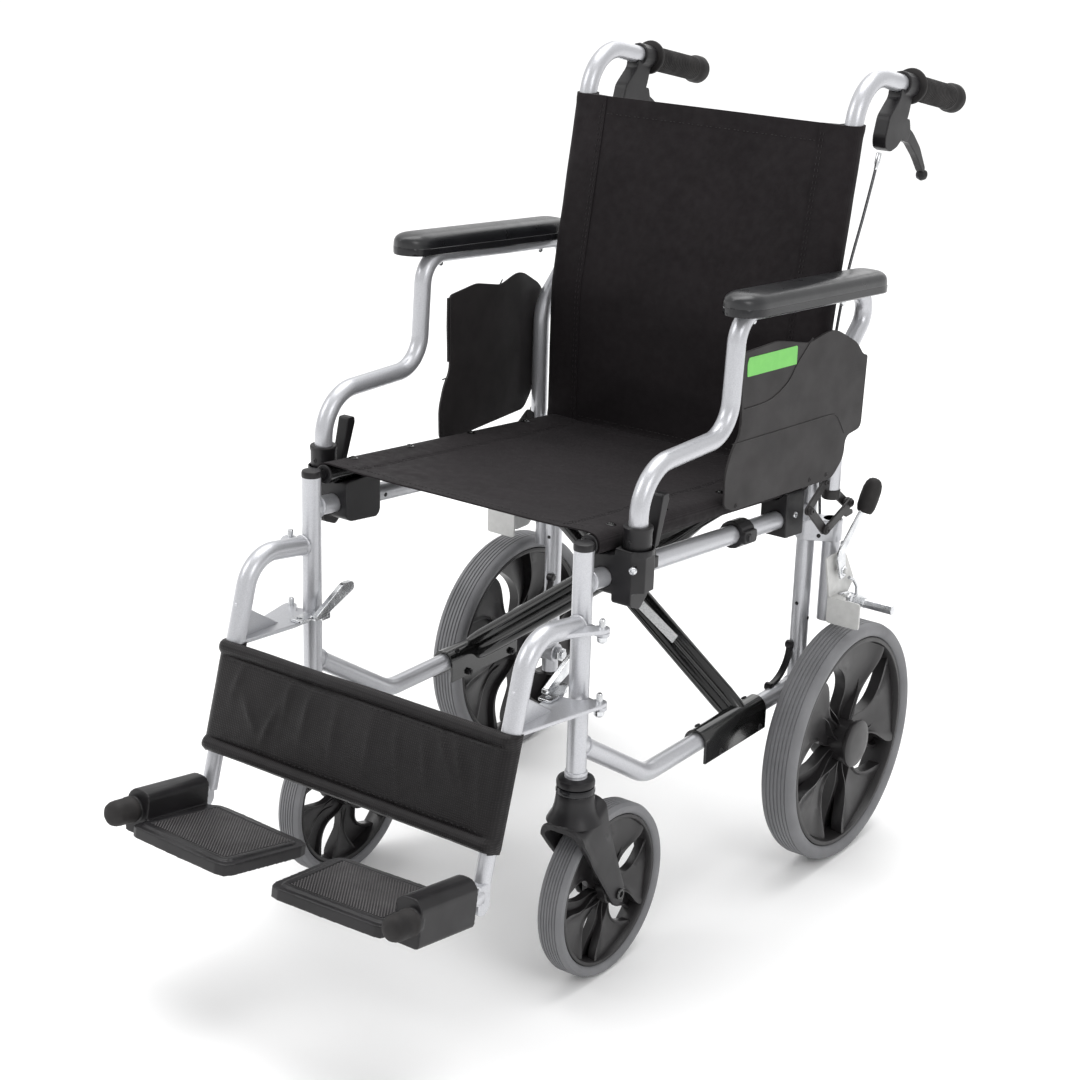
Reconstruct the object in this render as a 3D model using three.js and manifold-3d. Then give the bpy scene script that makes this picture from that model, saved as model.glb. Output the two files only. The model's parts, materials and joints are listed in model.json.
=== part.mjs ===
// Manual transit wheelchair with a scissor-folding frame. Units are millimetres, +Z is up, the chair faces -Y
// and the seated user's left side is +X. Both sides are the same, mirrored in X.
import * as THREE from 'three';
import { mergeVertices } from 'three/addons/utils/BufferGeometryUtils.js';
import Module from 'manifold-3d';

const wasm = await Module();
wasm.setup();

// Driving dimensions
const Y_CENTRE = -87.73;        // middle of the overall length, moved to the origin
const GAP = 0.3;                // clearance between pieces that touch
const TUBE_R = 11.1;            // main frame tube
const FRAME_X = 189.5;          // frame tubes, from the middle plane
const FRONT_Y = -323;           // front post, also the caster swivel axis
const REAR_Y = 157.5;           // rear post and rear axle
const OUTER_X = 219.8;          // armrest tubes
const SEAT_SLOPE = 0.0858;      // drop of the side rail per mm towards the back
const RAIL_FRONT_Z = 480.5;     // side rail at the front post
const SEAT_X = 184.5;           // seat tubes, a little inboard so that they clear the side panels when folded
const SEAT_TUBE_RISE = 38.6;    // seat tube axis above the side rail axis
const LOWER_RAIL_Z = 211;       // scissor hinge height
const CANE_BEND_Z = 661;        // where the back starts to lean
const CANE_SLOPE = 0.188;       // lean of the back, mm per mm
const HANDLE_Y = 338;           // grip flange
const HANDLE_Z = 935;
const HANDLE_DROP = 0.214;      // fall of the handle per mm
const GRIP_LENGTH = 128;

const WHEEL_R = 152.4;          // 12 inch rear wheel
const WHEEL_X = 254.15;
const WHEEL_W = 44.7;
const RIM_R = 134.4;
const CASTER_R = 101.6;         // 8 inch caster
const CASTER_X = 191.3;
const CASTER_Y = -268.4;
const CASTER_W = 32.6;
const CASTER_RIM_R = 88.4;

const HANGER_X = 193;
const PIN_X = 219;              // hanger hinge pins
const PIN_Y = -327;
const FOOT_X = 195;             // footplate pivot pin
const FOOT_Y = -508;
const FOOT_Z = 191.5;
const FOOT_TILT = THREE.MathUtils.degToRad(9);

const ARM_HINGE_Y = 190;        // armrest flip-back pivot
const ARM_HINGE_Z = 449;
const BRACE_Y = 20;             // half spacing of the two scissor arms
const ARM_PLATE = 10;           // half thickness of a scissor arm

const seatZ = (y) => RAIL_FRONT_Z + SEAT_TUBE_RISE - SEAT_SLOPE * (y - FRONT_Y);
const railZ = (y) => RAIL_FRONT_Z - SEAT_SLOPE * (y - FRONT_Y);
const caneY = (z) => REAR_Y + CANE_SLOPE * Math.max(0, z - CANE_BEND_Z);

const V = (x, y, z) => new THREE.Vector3(x, y, z);

// ---- turning three.js geometry into closed solids and back
function solidOf(geometry) {
  const bare = geometry.index ? geometry.toNonIndexed() : geometry.clone();
  for (const name of Object.keys(bare.attributes)) {
    if (name !== 'position') bare.deleteAttribute(name);
  }
  const welded = mergeVertices(bare, 1e-3);
  const p = welded.attributes.position.array;
  const index = Uint32Array.from(welded.index.array);
  const kept = [];
  let volume = 0;
  for (let i = 0; i < index.length; i += 3) {
    const [a, b, c] = [index[i], index[i + 1], index[i + 2]];
    if (a === b || b === c || a === c) continue;
    kept.push(a, b, c);
    const va = V(p[3 * a], p[3 * a + 1], p[3 * a + 2]);
    const vb = V(p[3 * b], p[3 * b + 1], p[3 * b + 2]);
    const vc = V(p[3 * c], p[3 * c + 1], p[3 * c + 2]);
    volume += va.dot(vb.cross(vc));
  }
  if (volume < 0) {
    for (let i = 0; i < kept.length; i += 3) {
      [kept[i + 1], kept[i + 2]] = [kept[i + 2], kept[i + 1]];
    }
  }
  const mesh = new wasm.Mesh({
    numProp: 3,
    vertProperties: Float32Array.from(p),
    triVerts: Uint32Array.from(kept),
  });
  return new wasm.Manifold(mesh);
}

function geometryOf(solid) {
  const mesh = solid.getMesh();
  const geometry = new THREE.BufferGeometry();
  const positions = new Float32Array((mesh.vertProperties.length / mesh.numProp) * 3);
  for (let i = 0; i < positions.length / 3; i++) {
    for (let k = 0; k < 3; k++) positions[3 * i + k] = mesh.vertProperties[i * mesh.numProp + k];
  }
  geometry.setAttribute('position', new THREE.BufferAttribute(positions, 3));
  geometry.setIndex(Array.from(mesh.triVerts));
  geometry.computeVertexNormals();
  return geometry;
}

const fuse = (...solids) => solids.flat().reduce((a, b) => a.add(b));
const cut = (solid, ...tools) => tools.flat().reduce((a, b) => a.subtract(b), solid);
const mirrored = (solid) => solid.mirror([1, 0, 0]);

// ---- basic shapes
function rod(from, to, radius, sides = 12, endRadius = radius) {
  const direction = to.clone().sub(from);
  const geometry = new THREE.CylinderGeometry(endRadius, radius, direction.length(), sides);
  geometry.translate(0, direction.length() / 2, 0);
  geometry.applyQuaternion(new THREE.Quaternion().setFromUnitVectors(V(0, 1, 0), direction.normalize()));
  geometry.translate(from.x, from.y, from.z);
  return solidOf(geometry);
}

function box(x0, x1, y0, y1, z0, z1) {
  const geometry = new THREE.BoxGeometry(x1 - x0, y1 - y0, z1 - z0);
  geometry.translate((x0 + x1) / 2, (y0 + y1) / 2, (z0 + z1) / 2);
  return solidOf(geometry);
}

// An outline with its corners rounded, as a list of points.
function rounded(points, radius, steps = 2) {
  const out = [];
  points.forEach((point, i) => {
    const before = points[(i + points.length - 1) % points.length];
    const after = points[(i + 1) % points.length];
    const here = new THREE.Vector2(...point);
    const a = new THREE.Vector2(...before).sub(here);
    const b = new THREE.Vector2(...after).sub(here);
    const reach = Math.min(point[2] ?? radius, a.length() * 0.45, b.length() * 0.45);
    const start = here.clone().add(a.setLength(reach));
    const end = here.clone().add(b.setLength(reach));
    const curve = new THREE.QuadraticBezierCurve(start, here, end);
    out.push(...curve.getPoints(steps));
  });
  return out;
}

const AXES = {
  yz: [V(0, 1, 0), V(0, 0, 1), V(1, 0, 0)],
  xy: [V(1, 0, 0), V(0, 1, 0), V(0, 0, 1)],
  zx: [V(0, 0, 1), V(1, 0, 0), V(0, 1, 0)],
};

// A flat outline given in one plane, extruded along the plane's normal from low to high.
function plate(plane, points, low, high, radius = 0) {
  const outline = radius > 0 ? rounded(points, radius) : points.map((p) => new THREE.Vector2(p[0], p[1]));
  const geometry = new THREE.ExtrudeGeometry(new THREE.Shape(outline), {
    depth: high - low,
    bevelEnabled: false,
  });
  geometry.translate(0, 0, low);
  geometry.applyMatrix4(new THREE.Matrix4().makeBasis(...AXES[plane]));
  return solidOf(geometry);
}

// A profile of [radius, height] points turned about an axis through origin.
function turned(profile, origin, axis, segments = 16) {
  const geometry = new THREE.LatheGeometry(profile.map(([r, h]) => new THREE.Vector2(r, h)), segments);
  geometry.applyQuaternion(new THREE.Quaternion().setFromUnitVectors(V(0, 1, 0), axis.clone().normalize()));
  geometry.translate(origin.x, origin.y, origin.z);
  return solidOf(geometry);
}

// A route through corner points, each corner replaced by an arc in short steps.
function bentRoute(corners, bend, stepDegrees = 15) {
  const out = [corners[0]];
  for (let i = 1; i < corners.length - 1; i++) {
    const here = corners[i];
    const a = corners[i - 1].clone().sub(here).normalize();
    const b = corners[i + 1].clone().sub(here).normalize();
    const turn = Math.PI - a.angleTo(b);
    const radius = Array.isArray(bend) ? bend[i - 1] : bend;
    const reach = radius * Math.tan(turn / 2);
    const middle = a.clone().add(b).normalize();
    const centre = here.clone().addScaledVector(middle, radius / Math.cos(turn / 2));
    const start = here.clone().addScaledVector(a, reach).sub(centre);
    const axis = start.clone().cross(here.clone().addScaledVector(b, reach).sub(centre)).normalize();
    const steps = Math.max(1, Math.ceil(THREE.MathUtils.radToDeg(turn) / stepDegrees));
    for (let k = 0; k <= steps; k++) {
      out.push(centre.clone().add(start.clone().applyAxisAngle(axis, (turn * k) / steps)));
    }
  }
  out.push(corners[corners.length - 1]);
  return out;
}

// A path that visits exactly the points it is given, so an extrusion has a section at each and nowhere else.
class Waypoints extends THREE.Curve {
  constructor(points) {
    super();
    this.points = points;
  }
  getPoint(t) {
    return this.points[Math.round(t * (this.points.length - 1))].clone();
  }
  getSpacedPoints() {
    return this.points.map((p) => p.clone());
  }
  getTangentAt(u, target = new THREE.Vector3()) {
    const i = Math.round(u * (this.points.length - 1));
    const before = this.points[Math.max(0, i - 1)];
    const after = this.points[Math.min(this.points.length - 1, i + 1)];
    const here = this.points[i];
    const a = here.clone().sub(before).normalize();
    const b = after.clone().sub(here).normalize();
    return target.copy(a.add(b)).normalize();
  }
}

function tube(route, radius, sides = 12) {
  const outline = [];
  for (let k = 0; k < sides; k++) {
    const angle = (2 * Math.PI * k) / sides;
    outline.push(new THREE.Vector2(radius * Math.cos(angle), radius * Math.sin(angle)));
  }
  const geometry = new THREE.ExtrudeGeometry(new THREE.Shape(outline), {
    steps: route.length - 1,
    bevelEnabled: false,
    extrudePath: new Waypoints(route),
  });
  return solidOf(geometry);
}

// A solid skinned over rings of points, each ring convex and with the same number of points.
function loft(rings) {
  const count = rings[0].length;
  const positions = rings.flat().flatMap((p) => [p.x, p.y, p.z]);
  const index = [];
  for (let r = 0; r < rings.length - 1; r++) {
    for (let k = 0; k < count; k++) {
      const a = r * count + k;
      const b = r * count + ((k + 1) % count);
      index.push(a, b, a + count, b, b + count, a + count);
    }
  }
  const last = (rings.length - 1) * count;
  for (let k = 1; k < count - 1; k++) {
    index.push(0, k + 1, k, last, last + k, last + k + 1);
  }
  const geometry = new THREE.BufferGeometry();
  geometry.setAttribute('position', new THREE.Float32BufferAttribute(positions, 3));
  geometry.setIndex(index);
  return solidOf(geometry);
}

// ---- materials
function finish(color, roughness, metalness) {
  return new THREE.MeshStandardMaterial({ color, roughness, metalness });
}
const SILVER = finish(0xc4c6cb, 0.38, 0.55);
const STEEL = finish(0xb9bbbe, 0.25, 0.9);
const PLASTIC = finish(0x29282b, 0.5, 0);
const RUBBER = finish(0x2c2b2d, 0.75, 0);
const BLACK_PAINT = finish(0x151515, 0.25, 0.2);
const TYRE = finish(0x66676b, 0.8, 0);
const FABRIC = finish(0x241f22, 0.9, 0);
const VINYL = finish(0x242327, 0.45, 0);

const chair = new THREE.Group();
chair.name = 'transit_wheelchair';
chair.position.y = -Y_CENTRE;

function add(parent, name, solid, material) {
  const mesh = new THREE.Mesh(geometryOf(solid.simplify(0.1)), material);
  mesh.name = name;
  parent.add(mesh);
}

// Adds a left piece and its mirror image.
function addPair(name, solid, material) {
  add(chair, `${name}_left`, solid, material);
  add(chair, `${name}_right`, mirrored(solid), material);
}

// ---- welded side frame: posts, rails, cane with push handle, outer tube, axle and hanger lugs
function sideFrame() {
  const handleLine = (y) => HANDLE_Z - HANDLE_DROP * (y - HANDLE_Y);
  const cornerZ = 961.6;
  const frontPost = rod(V(FRAME_X, FRONT_Y, 249), V(FRAME_X, FRONT_Y, 526), TUBE_R);
  const topRail = rod(V(FRAME_X, FRONT_Y, railZ(FRONT_Y)), V(FRAME_X, REAR_Y, railZ(REAR_Y)), TUBE_R);
  const lowRail = tube(
    bentRoute(
      [V(FRAME_X, FRONT_Y, 297), V(FRAME_X, -187, LOWER_RAIL_Z), V(FRAME_X, REAR_Y, LOWER_RAIL_Z)],
      60,
      16,
    ),
    TUBE_R,
  );
  const cane = tube(
    bentRoute(
      [
        V(FRAME_X, REAR_Y, 126),
        V(FRAME_X, REAR_Y, CANE_BEND_Z),
        V(FRAME_X, caneY(cornerZ), cornerZ),
        V(FRAME_X, HANDLE_Y + GRIP_LENGTH - 10, handleLine(HANDLE_Y + GRIP_LENGTH - 10)),
      ],
      [150, 58],
      18,
    ),
    TUBE_R,
  );
  const outerTube = rod(V(217, 172, 300), V(217, 172, 431), TUBE_R);
  const band = fuse(
    rod(V(FRAME_X, REAR_Y, 404), V(FRAME_X, REAR_Y, 431), TUBE_R + 1.6),
    rod(V(217, 172, 404), V(217, 172, 431), TUBE_R + 1.6),
    plate(
      'xy',
      [[184, 169], [195, 145.5], [223, 160.5], [212, 184]],
      404,
      431,
    ),
  );
  const axleBoss = rod(V(178, REAR_Y, WHEEL_R), V(226, REAR_Y, WHEEL_R), 13);
  const axle = rod(V(170, REAR_Y, WHEEL_R), V(272, REAR_Y, WHEEL_R), 6);
  const nut = rod(V(168, REAR_Y, WHEEL_R), V(176, REAR_Y, WHEEL_R), 10, 6);
  const lugs = [430, 346].map((z) =>
    fuse(
      plate(
        'xy',
        [[FRAME_X, FRONT_Y - 7], [PIN_X + 6, PIN_Y - 6], [PIN_X + 6, PIN_Y + 6], [FRAME_X, FRONT_Y + 7]],
        z,
        z + 5,
        4,
      ),
      rod(V(PIN_X, PIN_Y, z), V(PIN_X, PIN_Y, z + 19), 3.6, 8),
    ),
  );
  const bearing = turned(
    [[0, 249], [14.5, 249], [14.5, 259], [12.5, 262], [0, 262]],
    V(FRAME_X, FRONT_Y, 0),
    V(0, 0, 1),
    20,
  );
  return fuse(frontPost, topRail, lowRail, cane, outerTube, band, axleBoss, axle, nut, lugs, bearing);
}
addPair('frame', sideFrame(), SILVER);

// ---- plastic blocks clamped on the side rail
const railCutter = rod(V(FRAME_X, -400, railZ(-400)), V(FRAME_X, 300, railZ(300)), TUBE_R + GAP);
function seatCutter(y0, y1) {
  const radius = TUBE_R + 2.4;
  const round = rod(V(SEAT_X, y0, seatZ(y0)), V(SEAT_X, y1, seatZ(y1)), radius);
  const above = box(SEAT_X - radius, SEAT_X + radius, y0, y1, seatZ(y1), seatZ(y0) + 40);
  return fuse(round, above);
}

function frontBlock() {
  const y0 = -287;
  const y1 = -227;
  const clamp = plate(
    'yz',
    [[y0, 506], [y0, 462], [y0 + 8, 457], [y1 - 6, 452], [y1, 458], [y1, 506]],
    SEAT_X - 16.5,
    FRAME_X + 15,
    3,
  );
  const housing = plate(
    'xy',
    [[201, y0], [226, y0], [236, -276], [236, -258], [226, -249], [201, -249]],
    466,
    513,
  );
  const wedge = plate('yz', [[y0, 470], [-249, 470], [-249, 462], [-268, 444], [y0, 452]], 201, 226, 3);
  const rim = turned([[0, 506], [18.5, 506], [18.5, 513], [0, 513]], V(OUTER_X, -268, 0), V(0, 0, 1), 20);
  const seat = turned(
    [[0, 507.5], [16.8, 507.5], [17.6, 520], [0, 520]],
    V(OUTER_X, -268, 0),
    V(0, 0, 1),
    20,
  );
  const earLow = box(211, 228, -249.5, -238, 484, 497);
  const earSlot = box(215.4, 223.6, -248.5, -230, 480, 500);
  const screw = rod(V(229, -290, 494), V(229, -284, 494), 4, 10);
  const slingRoom = box(165, 204.2, -300, -220, 506, 530);
  return cut(
    fuse(clamp, housing, wedge, rim, cut(earLow, earSlot), screw),
    railCutter,
    seatCutter(-320, -200),
    seat,
    slingRoom,
  );
}
addPair('front_block', frontBlock(), PLASTIC);

function saddle(y0, y1, drop) {
  const body = plate(
    'yz',
    [[y0, seatZ(y0) - 3], [y0, railZ(y0) - drop], [y1, railZ(y1) - drop], [y1, seatZ(y1) - 3]],
    SEAT_X - 16,
    FRAME_X + 15,
    2,
  );
  return cut(body, railCutter, seatCutter(y0 - 20, y1 + 20));
}

function railCollar() {
  const ring = rod(V(FRAME_X, -24, railZ(-24)), V(FRAME_X, 4, railZ(4)), 16.5, 14);
  const ear = plate('yz', [[-24, 462], [-24, 446], [4, 444], [4, 460]], FRAME_X + 10, FRAME_X + 19, 4);
  const bolt = rod(V(FRAME_X + 17, -15, 453), V(FRAME_X + 22, -15, 453), 5, 10);
  return cut(fuse(ring, ear, bolt), railCutter);
}
addPair('rail_collar', railCollar(), PLASTIC);
addPair('rear_saddle', saddle(78, 120, 20), PLASTIC);

// ---- hanger release, armrest, brakes: see each function
function footrestHanger() {
  const top = V(HANGER_X, FRONT_Y - TUBE_R - 1.2, 437);
  const corner = V(HANGER_X, -419, 449);
  const end = V(HANGER_X, -493, 194);
  const route = bentRoute([top, corner, end], 42, 22);
  const along = end.clone().sub(corner).normalize();
  const stem = rod(end.clone().addScaledVector(along, -20), end.clone().addScaledVector(along, 14), 9.2, 14);
  const tab = plate(
    'yz',
    [[-508, 204], [-508, 171], [-497, 168], [-489, 176], [-487, 204]],
    HANGER_X - 9,
    HANGER_X + 11,
    4,
  );
  const pivotAxis = V(0, Math.cos(FOOT_TILT), -Math.sin(FOOT_TILT));
  const pivotAt = (d) => V(FOOT_X, FOOT_Y, FOOT_Z).addScaledVector(pivotAxis, d);
  const pivotBore = rod(pivotAt(-10), pivotAt(14), 5.5);
  const upper = plate(
    'xy',
    [
      [PIN_X - 9, PIN_Y - 1], [PIN_X - 2, PIN_Y + 8], [PIN_X + 8, PIN_Y + 5], [PIN_X + 9, PIN_Y - 5],
      [HANGER_X + 8, -372], [HANGER_X - 9, -372], [HANGER_X - 9, -344], [202, -338.5],
    ],
    435.4,
    440,
  );
  const lower = plate(
    'xy',
    [
      [PIN_X - 9, PIN_Y - 1], [PIN_X - 2, PIN_Y + 8], [PIN_X + 8, PIN_Y + 5], [PIN_X + 9, PIN_Y - 5],
      [HANGER_X + 9, -452], [HANGER_X - 9, -452], [HANGER_X - 20, -372], [HANGER_X - 20, -344], [202, -338.5],
    ],
    351.4,
    356,
  );
  const gusset = plate('yz', [[-446, 400], [-446, 354], [-376, 354]], HANGER_X - 2, HANGER_X + 2);
  const collar = turned([[0, 0], [13, 0], [13, 3.5], [0, 3.5]], top, V(0, -1, 0.1), 12);
  const holes = [430, 346].map((z) => rod(V(PIN_X, PIN_Y, z), V(PIN_X, PIN_Y, z + 30), 4.1, 8));
  const latchPin = rod(V(176, -360, 356), V(176, -360, 366), 3, 10);
  const postClear = rod(V(FRAME_X, FRONT_Y, 340), V(FRAME_X, FRONT_Y, 450), TUBE_R + 1, 16);
  const body = fuse(tube(route, TUBE_R, 10), stem, tab, upper, lower, gusset, collar, latchPin);
  return cut(body, holes, postClear, pivotBore);
}
addPair('hanger', footrestHanger(), SILVER);

function hangerLatch() {
  const body = plate(
    'xy',
    [[168, -368], [184, -368], [184, -352], [181, -338], [172, -318], [166, -318], [166, -338]],
    356.4,
    359.6,
    2,
  );
  const hook = box(166, 171.5, -332, -318, 350, 359.6);
  const paddle = plate(
    'yz',
    [[-352, 359.6], [-328, 359.6], [-282, 378], [-284, 388], [-300, 389]],
    160,
    166.5,
    4,
  );
  const foot = box(160, 169, -350, -330, 356.4, 361.6);
  const bore = rod(V(176, -360, 350), V(176, -360, 370), 3.4, 10);
  return cut(fuse(body, hook, paddle, foot), bore);
}
addPair('hanger_latch', hangerLatch(), STEEL);

// ---- footplates, drawn flat about their pivot pin and tilted with it
const FOOT = { inner: -175, front: -130, rear: 3 };
function footplateBody() {
  const tray = plate(
    'xy',
    [
      [-20, -122], [FOOT.inner + 10, FOOT.front, 14], [FOOT.inner, FOOT.rear - 10, 14],
      [-36, FOOT.rear, 10], [-20, -8],
    ],
    -20.5,
    -7.5,
    8,
  );
  const top = plate(
    'xy',
    [
      [-26, -114], [FOOT.inner + 18, FOOT.front + 9, 10], [FOOT.inner + 9, FOOT.rear - 18, 10],
      [-36, -6], [-26, -14],
    ],
    -9.5,
    -5.5,
    6,
  );
  const recess = plate('xy', [[-32, -106], [-150, -114], [-160, -18], [-38, -10]], -6.9, 0);
  const housing = plate(
    'zx',
    [[-27.5, -22], [18.5, -22], [23.5, -14], [23.5, 2], [14.5, 11], [-27.5, 11]],
    -100,
    -8,
    4,
  );
  const nose = rod(V(0, -96, 0), V(0, -104, 0), 13, 18);
  const bore = rod(V(0, 10, 0), V(0, -120, 0), 5.5);
  return cut(fuse(tray, cut(top, recess), housing, nose), bore);
}

// The pin turns in the hanger and carries the plate; its front end is the rubber bumper.
function footplateBumper() {
  const bumper = turned(
    [[0, 0], [13.5, 0], [13.5, 16], [15.5, 19], [15.5, 27], [12, 31], [0, 31]],
    V(0, -104.3, 0),
    V(0, -1, 0),
    20,
  );
  return fuse(bumper, rod(V(0, 12, 0), V(0, -106, 0), 5));
}
for (const [tag, side] of [['left', 1], ['right', -1]]) {
  const group = new THREE.Group();
  group.position.set(side * FOOT_X, FOOT_Y, FOOT_Z);
  group.rotation.x = -FOOT_TILT;
  chair.add(group);
  const facing = (solid) => (side > 0 ? solid : mirrored(solid));
  add(group, `footplate_${tag}`, facing(footplateBody()), PLASTIC);
  add(group, `footplate_bumper_${tag}`, facing(footplateBumper()), RUBBER);
}

// ---- armrest: tube, end sleeve, side panel, pad, hinge plates
const armRoute = bentRoute(
  [
    V(OUTER_X, -268, 516),
    V(OUTER_X, -268, 596),
    V(OUTER_X, -95, 598),
    V(OUTER_X, -86, 732),
    V(OUTER_X, 240, 709),
    V(OUTER_X, 157, 630),
    V(OUTER_X, 157, 474),
  ],
  [52, 42, 34, 27, 60],
  28,
);
function armrestTube() {
  return tube(armRoute, TUBE_R - 0.6, 10);
}
addPair('armrest_tube', armrestTube(), SILVER);

function armrestSleeve() {
  const outside = turned(
    [[0, 508], [14.4, 508], [15.2, 511], [15.2, 534], [14, 537], [0, 537]],
    V(OUTER_X, -268, 0),
    V(0, 0, 1),
    16,
  );
  return cut(outside, tube([V(OUTER_X, -268, 515.6), V(OUTER_X, -268, 545)], TUBE_R - 0.1, 10));
}
addPair('armrest_sleeve', armrestSleeve(), PLASTIC);

function armrestPanel() {
  const outline = [
    [-52, 679.6, 8], [25, 679, 10], [97, 662.4, 10], [155, 669.4, 16], [214.7, 640.5, 14], [231.4, 623.6, 4],
    [243, 619.5, 3], [239.3, 530.4, 10], [201.9, 527.4, 14], [201.3, 501.7, 10], [174.3, 480.9, 10],
    [-57.3, 496.2, 5], [-76, 505.3, 5], [-78, 542.7, 8], [-65.3, 570, 10], [-50, 583.9, 10],
    [-49.5, 607.1, 8],
  ];
  return plate('yz', outline, 206.2, 208.9, 8);
}
addPair('side_panel', armrestPanel(), PLASTIC);

const PAD_X = 230.5;
function armPad() {
  const rings = [];
  const stations = [
    [-119, 0.35, 0.5], [-112, 0.72, 0.8], [-98, 0.92, 1], [40, 1, 1], [190, 0.95, 1], [203, 0.78, 0.82],
    [209, 0.4, 0.5],
  ];
  for (const [y, wide, tall] of stations) {
    const middle = 741.5 - 0.0705 * (y + 20);
    const w = 25 * wide;
    const h = 13 * tall;
    const section = [
      [-w, -h], [w, -h], [w * 1.02, -h * 0.2], [w * 0.86, h * 0.55], [w * 0.4, h * 0.95],
      [-w * 0.4, h * 0.95], [-w * 0.86, h * 0.55], [-w * 1.02, -h * 0.2],
    ];
    rings.push(section.map(([x, z]) => V(PAD_X + x, y, middle + z)));
  }
  return cut(loft(rings), tube(armRoute, TUBE_R - 0.1, 10));
}
addPair('arm_pad', armPad(), VINYL);

function armrestLink() {
  const outline = [[148, 473.6], [148, 462], [176, 440], [196, 440], [200, 450], [172, 473.6]];
  const side = plate('yz', outline, 224, 231, 3);
  const plug = rod(V(OUTER_X, 157, 462), V(OUTER_X, 157, 473.7), 11, 14);
  const pin = rod(V(211, ARM_HINGE_Y, ARM_HINGE_Z), V(231, ARM_HINGE_Y, ARM_HINGE_Z), 4, 8);
  return fuse(side, plug, pin);
}
addPair('armrest_link', armrestLink(), PLASTIC);

function armrestHinge() {
  const tongue = plate(
    'yz',
    [[160, 431.3], [160, 436], [179, 458], [196, 459], [201, 449], [190, 436], [186, 431.3]],
    211,
    223.5,
    3,
  );
  const hook = plate('yz', [[180, 431.3], [204, 431.3], [207, 436], [200, 440], [188, 442]], 213, 221.5, 2);
  const bore = rod(V(200, ARM_HINGE_Y, ARM_HINGE_Z), V(240, ARM_HINGE_Y, ARM_HINGE_Z), 4.4, 8);
  return cut(fuse(tongue, hook), bore);
}
addPair('armrest_hinge', armrestHinge(), PLASTIC);

function armrestRelease() {
  const paddle = plate('yz', [[-246, 508], [-238, 508], [-221, 556], [-222, 563], [-233, 563]], 212, 227, 2);
  const eye = plate(
    'yz',
    [[-245, 486], [-238.5, 484], [-235, 490], [-238, 510], [-246, 510]],
    215.8,
    223.2,
    2,
  );
  const bore = rod(V(210, -241, 490.5), V(230, -241, 490.5), 2.6, 10);
  return cut(fuse(paddle, eye), bore);
}
addPair('armrest_release', armrestRelease(), PLASTIC);

// ---- push handles and attendant brakes
const handleAxis = V(0, 1, -HANDLE_DROP).normalize();
const handleAt = (d) => V(FRAME_X, HANDLE_Y, HANDLE_Z).addScaledVector(handleAxis, d);
function pushGrip() {
  const outside = turned(
    [
      [0, 0], [21, 0], [23, 3], [21, 8], [15.5, 11], [15, 60],
      [15.5, 112], [18, 118], [18, 126], [14, 130], [0, 130],
    ],
    handleAt(0),
    handleAxis,
    16,
  );
  return cut(outside, rod(handleAt(-5), handleAt(121), TUBE_R + GAP));
}
addPair('push_grip', pushGrip(), RUBBER);

const LEVER_Y = 322;
const LEVER_Z = 881;
function leverBracket() {
  const clamp = rod(handleAt(-26), handleAt(-1), TUBE_R + 4.2, 14);
  const body = plate(
    'yz',
    [
      [304, 950], [300, 925], [276, 905], [268, 880], [270, 868],
      [284, 862], [300, 866], [312, 874], [326, 905], [333, 930],
    ],
    FRAME_X - 9,
    FRAME_X + 9,
    4,
  );
  const ears = plate(
    'yz',
    [[308, 895], [312, 872], [328, 870], [334, 881], [329, 898]],
    FRAME_X - 9,
    FRAME_X + 9,
    4,
  );
  const slot = box(FRAME_X - 5.3, FRAME_X + 5.3, 309, 345, 862, 899);
  const pin = rod(V(FRAME_X - 9, LEVER_Y, LEVER_Z), V(FRAME_X + 9, LEVER_Y, LEVER_Z), 2.6, 8);
  const handleBore = tube([handleAt(-40), handleAt(5)], TUBE_R + GAP);
  return cut(fuse(cut(fuse(clamp, body, ears), slot), pin), handleBore);
}
addPair('lever_bracket', leverBracket(), PLASTIC);

function brakeLever() {
  const blade = plate(
    'yz',
    [
      [314, 889], [313, 874], [326, 870], [342, 866], [366, 846], [386, 824],
      [392, 829], [372, 858], [350, 878], [328, 891],
    ],
    FRAME_X - 4.8,
    FRAME_X + 4.8,
    5,
  );
  const ball = turned(
    [[0, -8], [5.6, -5.6], [8, 0], [5.6, 5.6], [0, 8]],
    V(FRAME_X, 392, 821),
    V(1, 0, 0),
    10,
  );
  const bore = rod(V(FRAME_X - 12, LEVER_Y, LEVER_Z), V(FRAME_X + 12, LEVER_Y, LEVER_Z), 3.1, 8);
  return cut(fuse(blade, ball), bore);
}
addPair('brake_lever', brakeLever(), PLASTIC);

function brakeCable() {
  const route = new THREE.CatmullRomCurve3(
    [
      V(FRAME_X, 272, 860.5), V(FRAME_X + 1, 262, 838), V(FRAME_X + 3, 238, 790),
      V(FRAME_X + 4, 209, 730), V(FRAME_X + 4, 192, 670), V(FRAME_X + 3, 182, 600),
      V(FRAME_X + 2, 179, 520), V(FRAME_X + 1, 184, 450), V(FRAME_X + 6, 190, 400),
      V(FRAME_X + 22, 202, 368), V(FRAME_X + 43, 196, 352), V(FRAME_X + 46, 192, 348),
    ],
    false,
    'centripetal',
  );
  const geometry = new THREE.ExtrudeGeometry(
    new THREE.Shape(
      [0, 45, 90, 135, 180, 225, 270, 315].map((turn) => {
        const angle = THREE.MathUtils.degToRad(turn);
        return new THREE.Vector2(1.9 * Math.cos(angle), 1.9 * Math.sin(angle));
      }),
    ),
    { steps: 18, bevelEnabled: false, extrudePath: route },
  );
  return solidOf(geometry);
}
addPair('brake_cable', brakeCable(), RUBBER);

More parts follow.
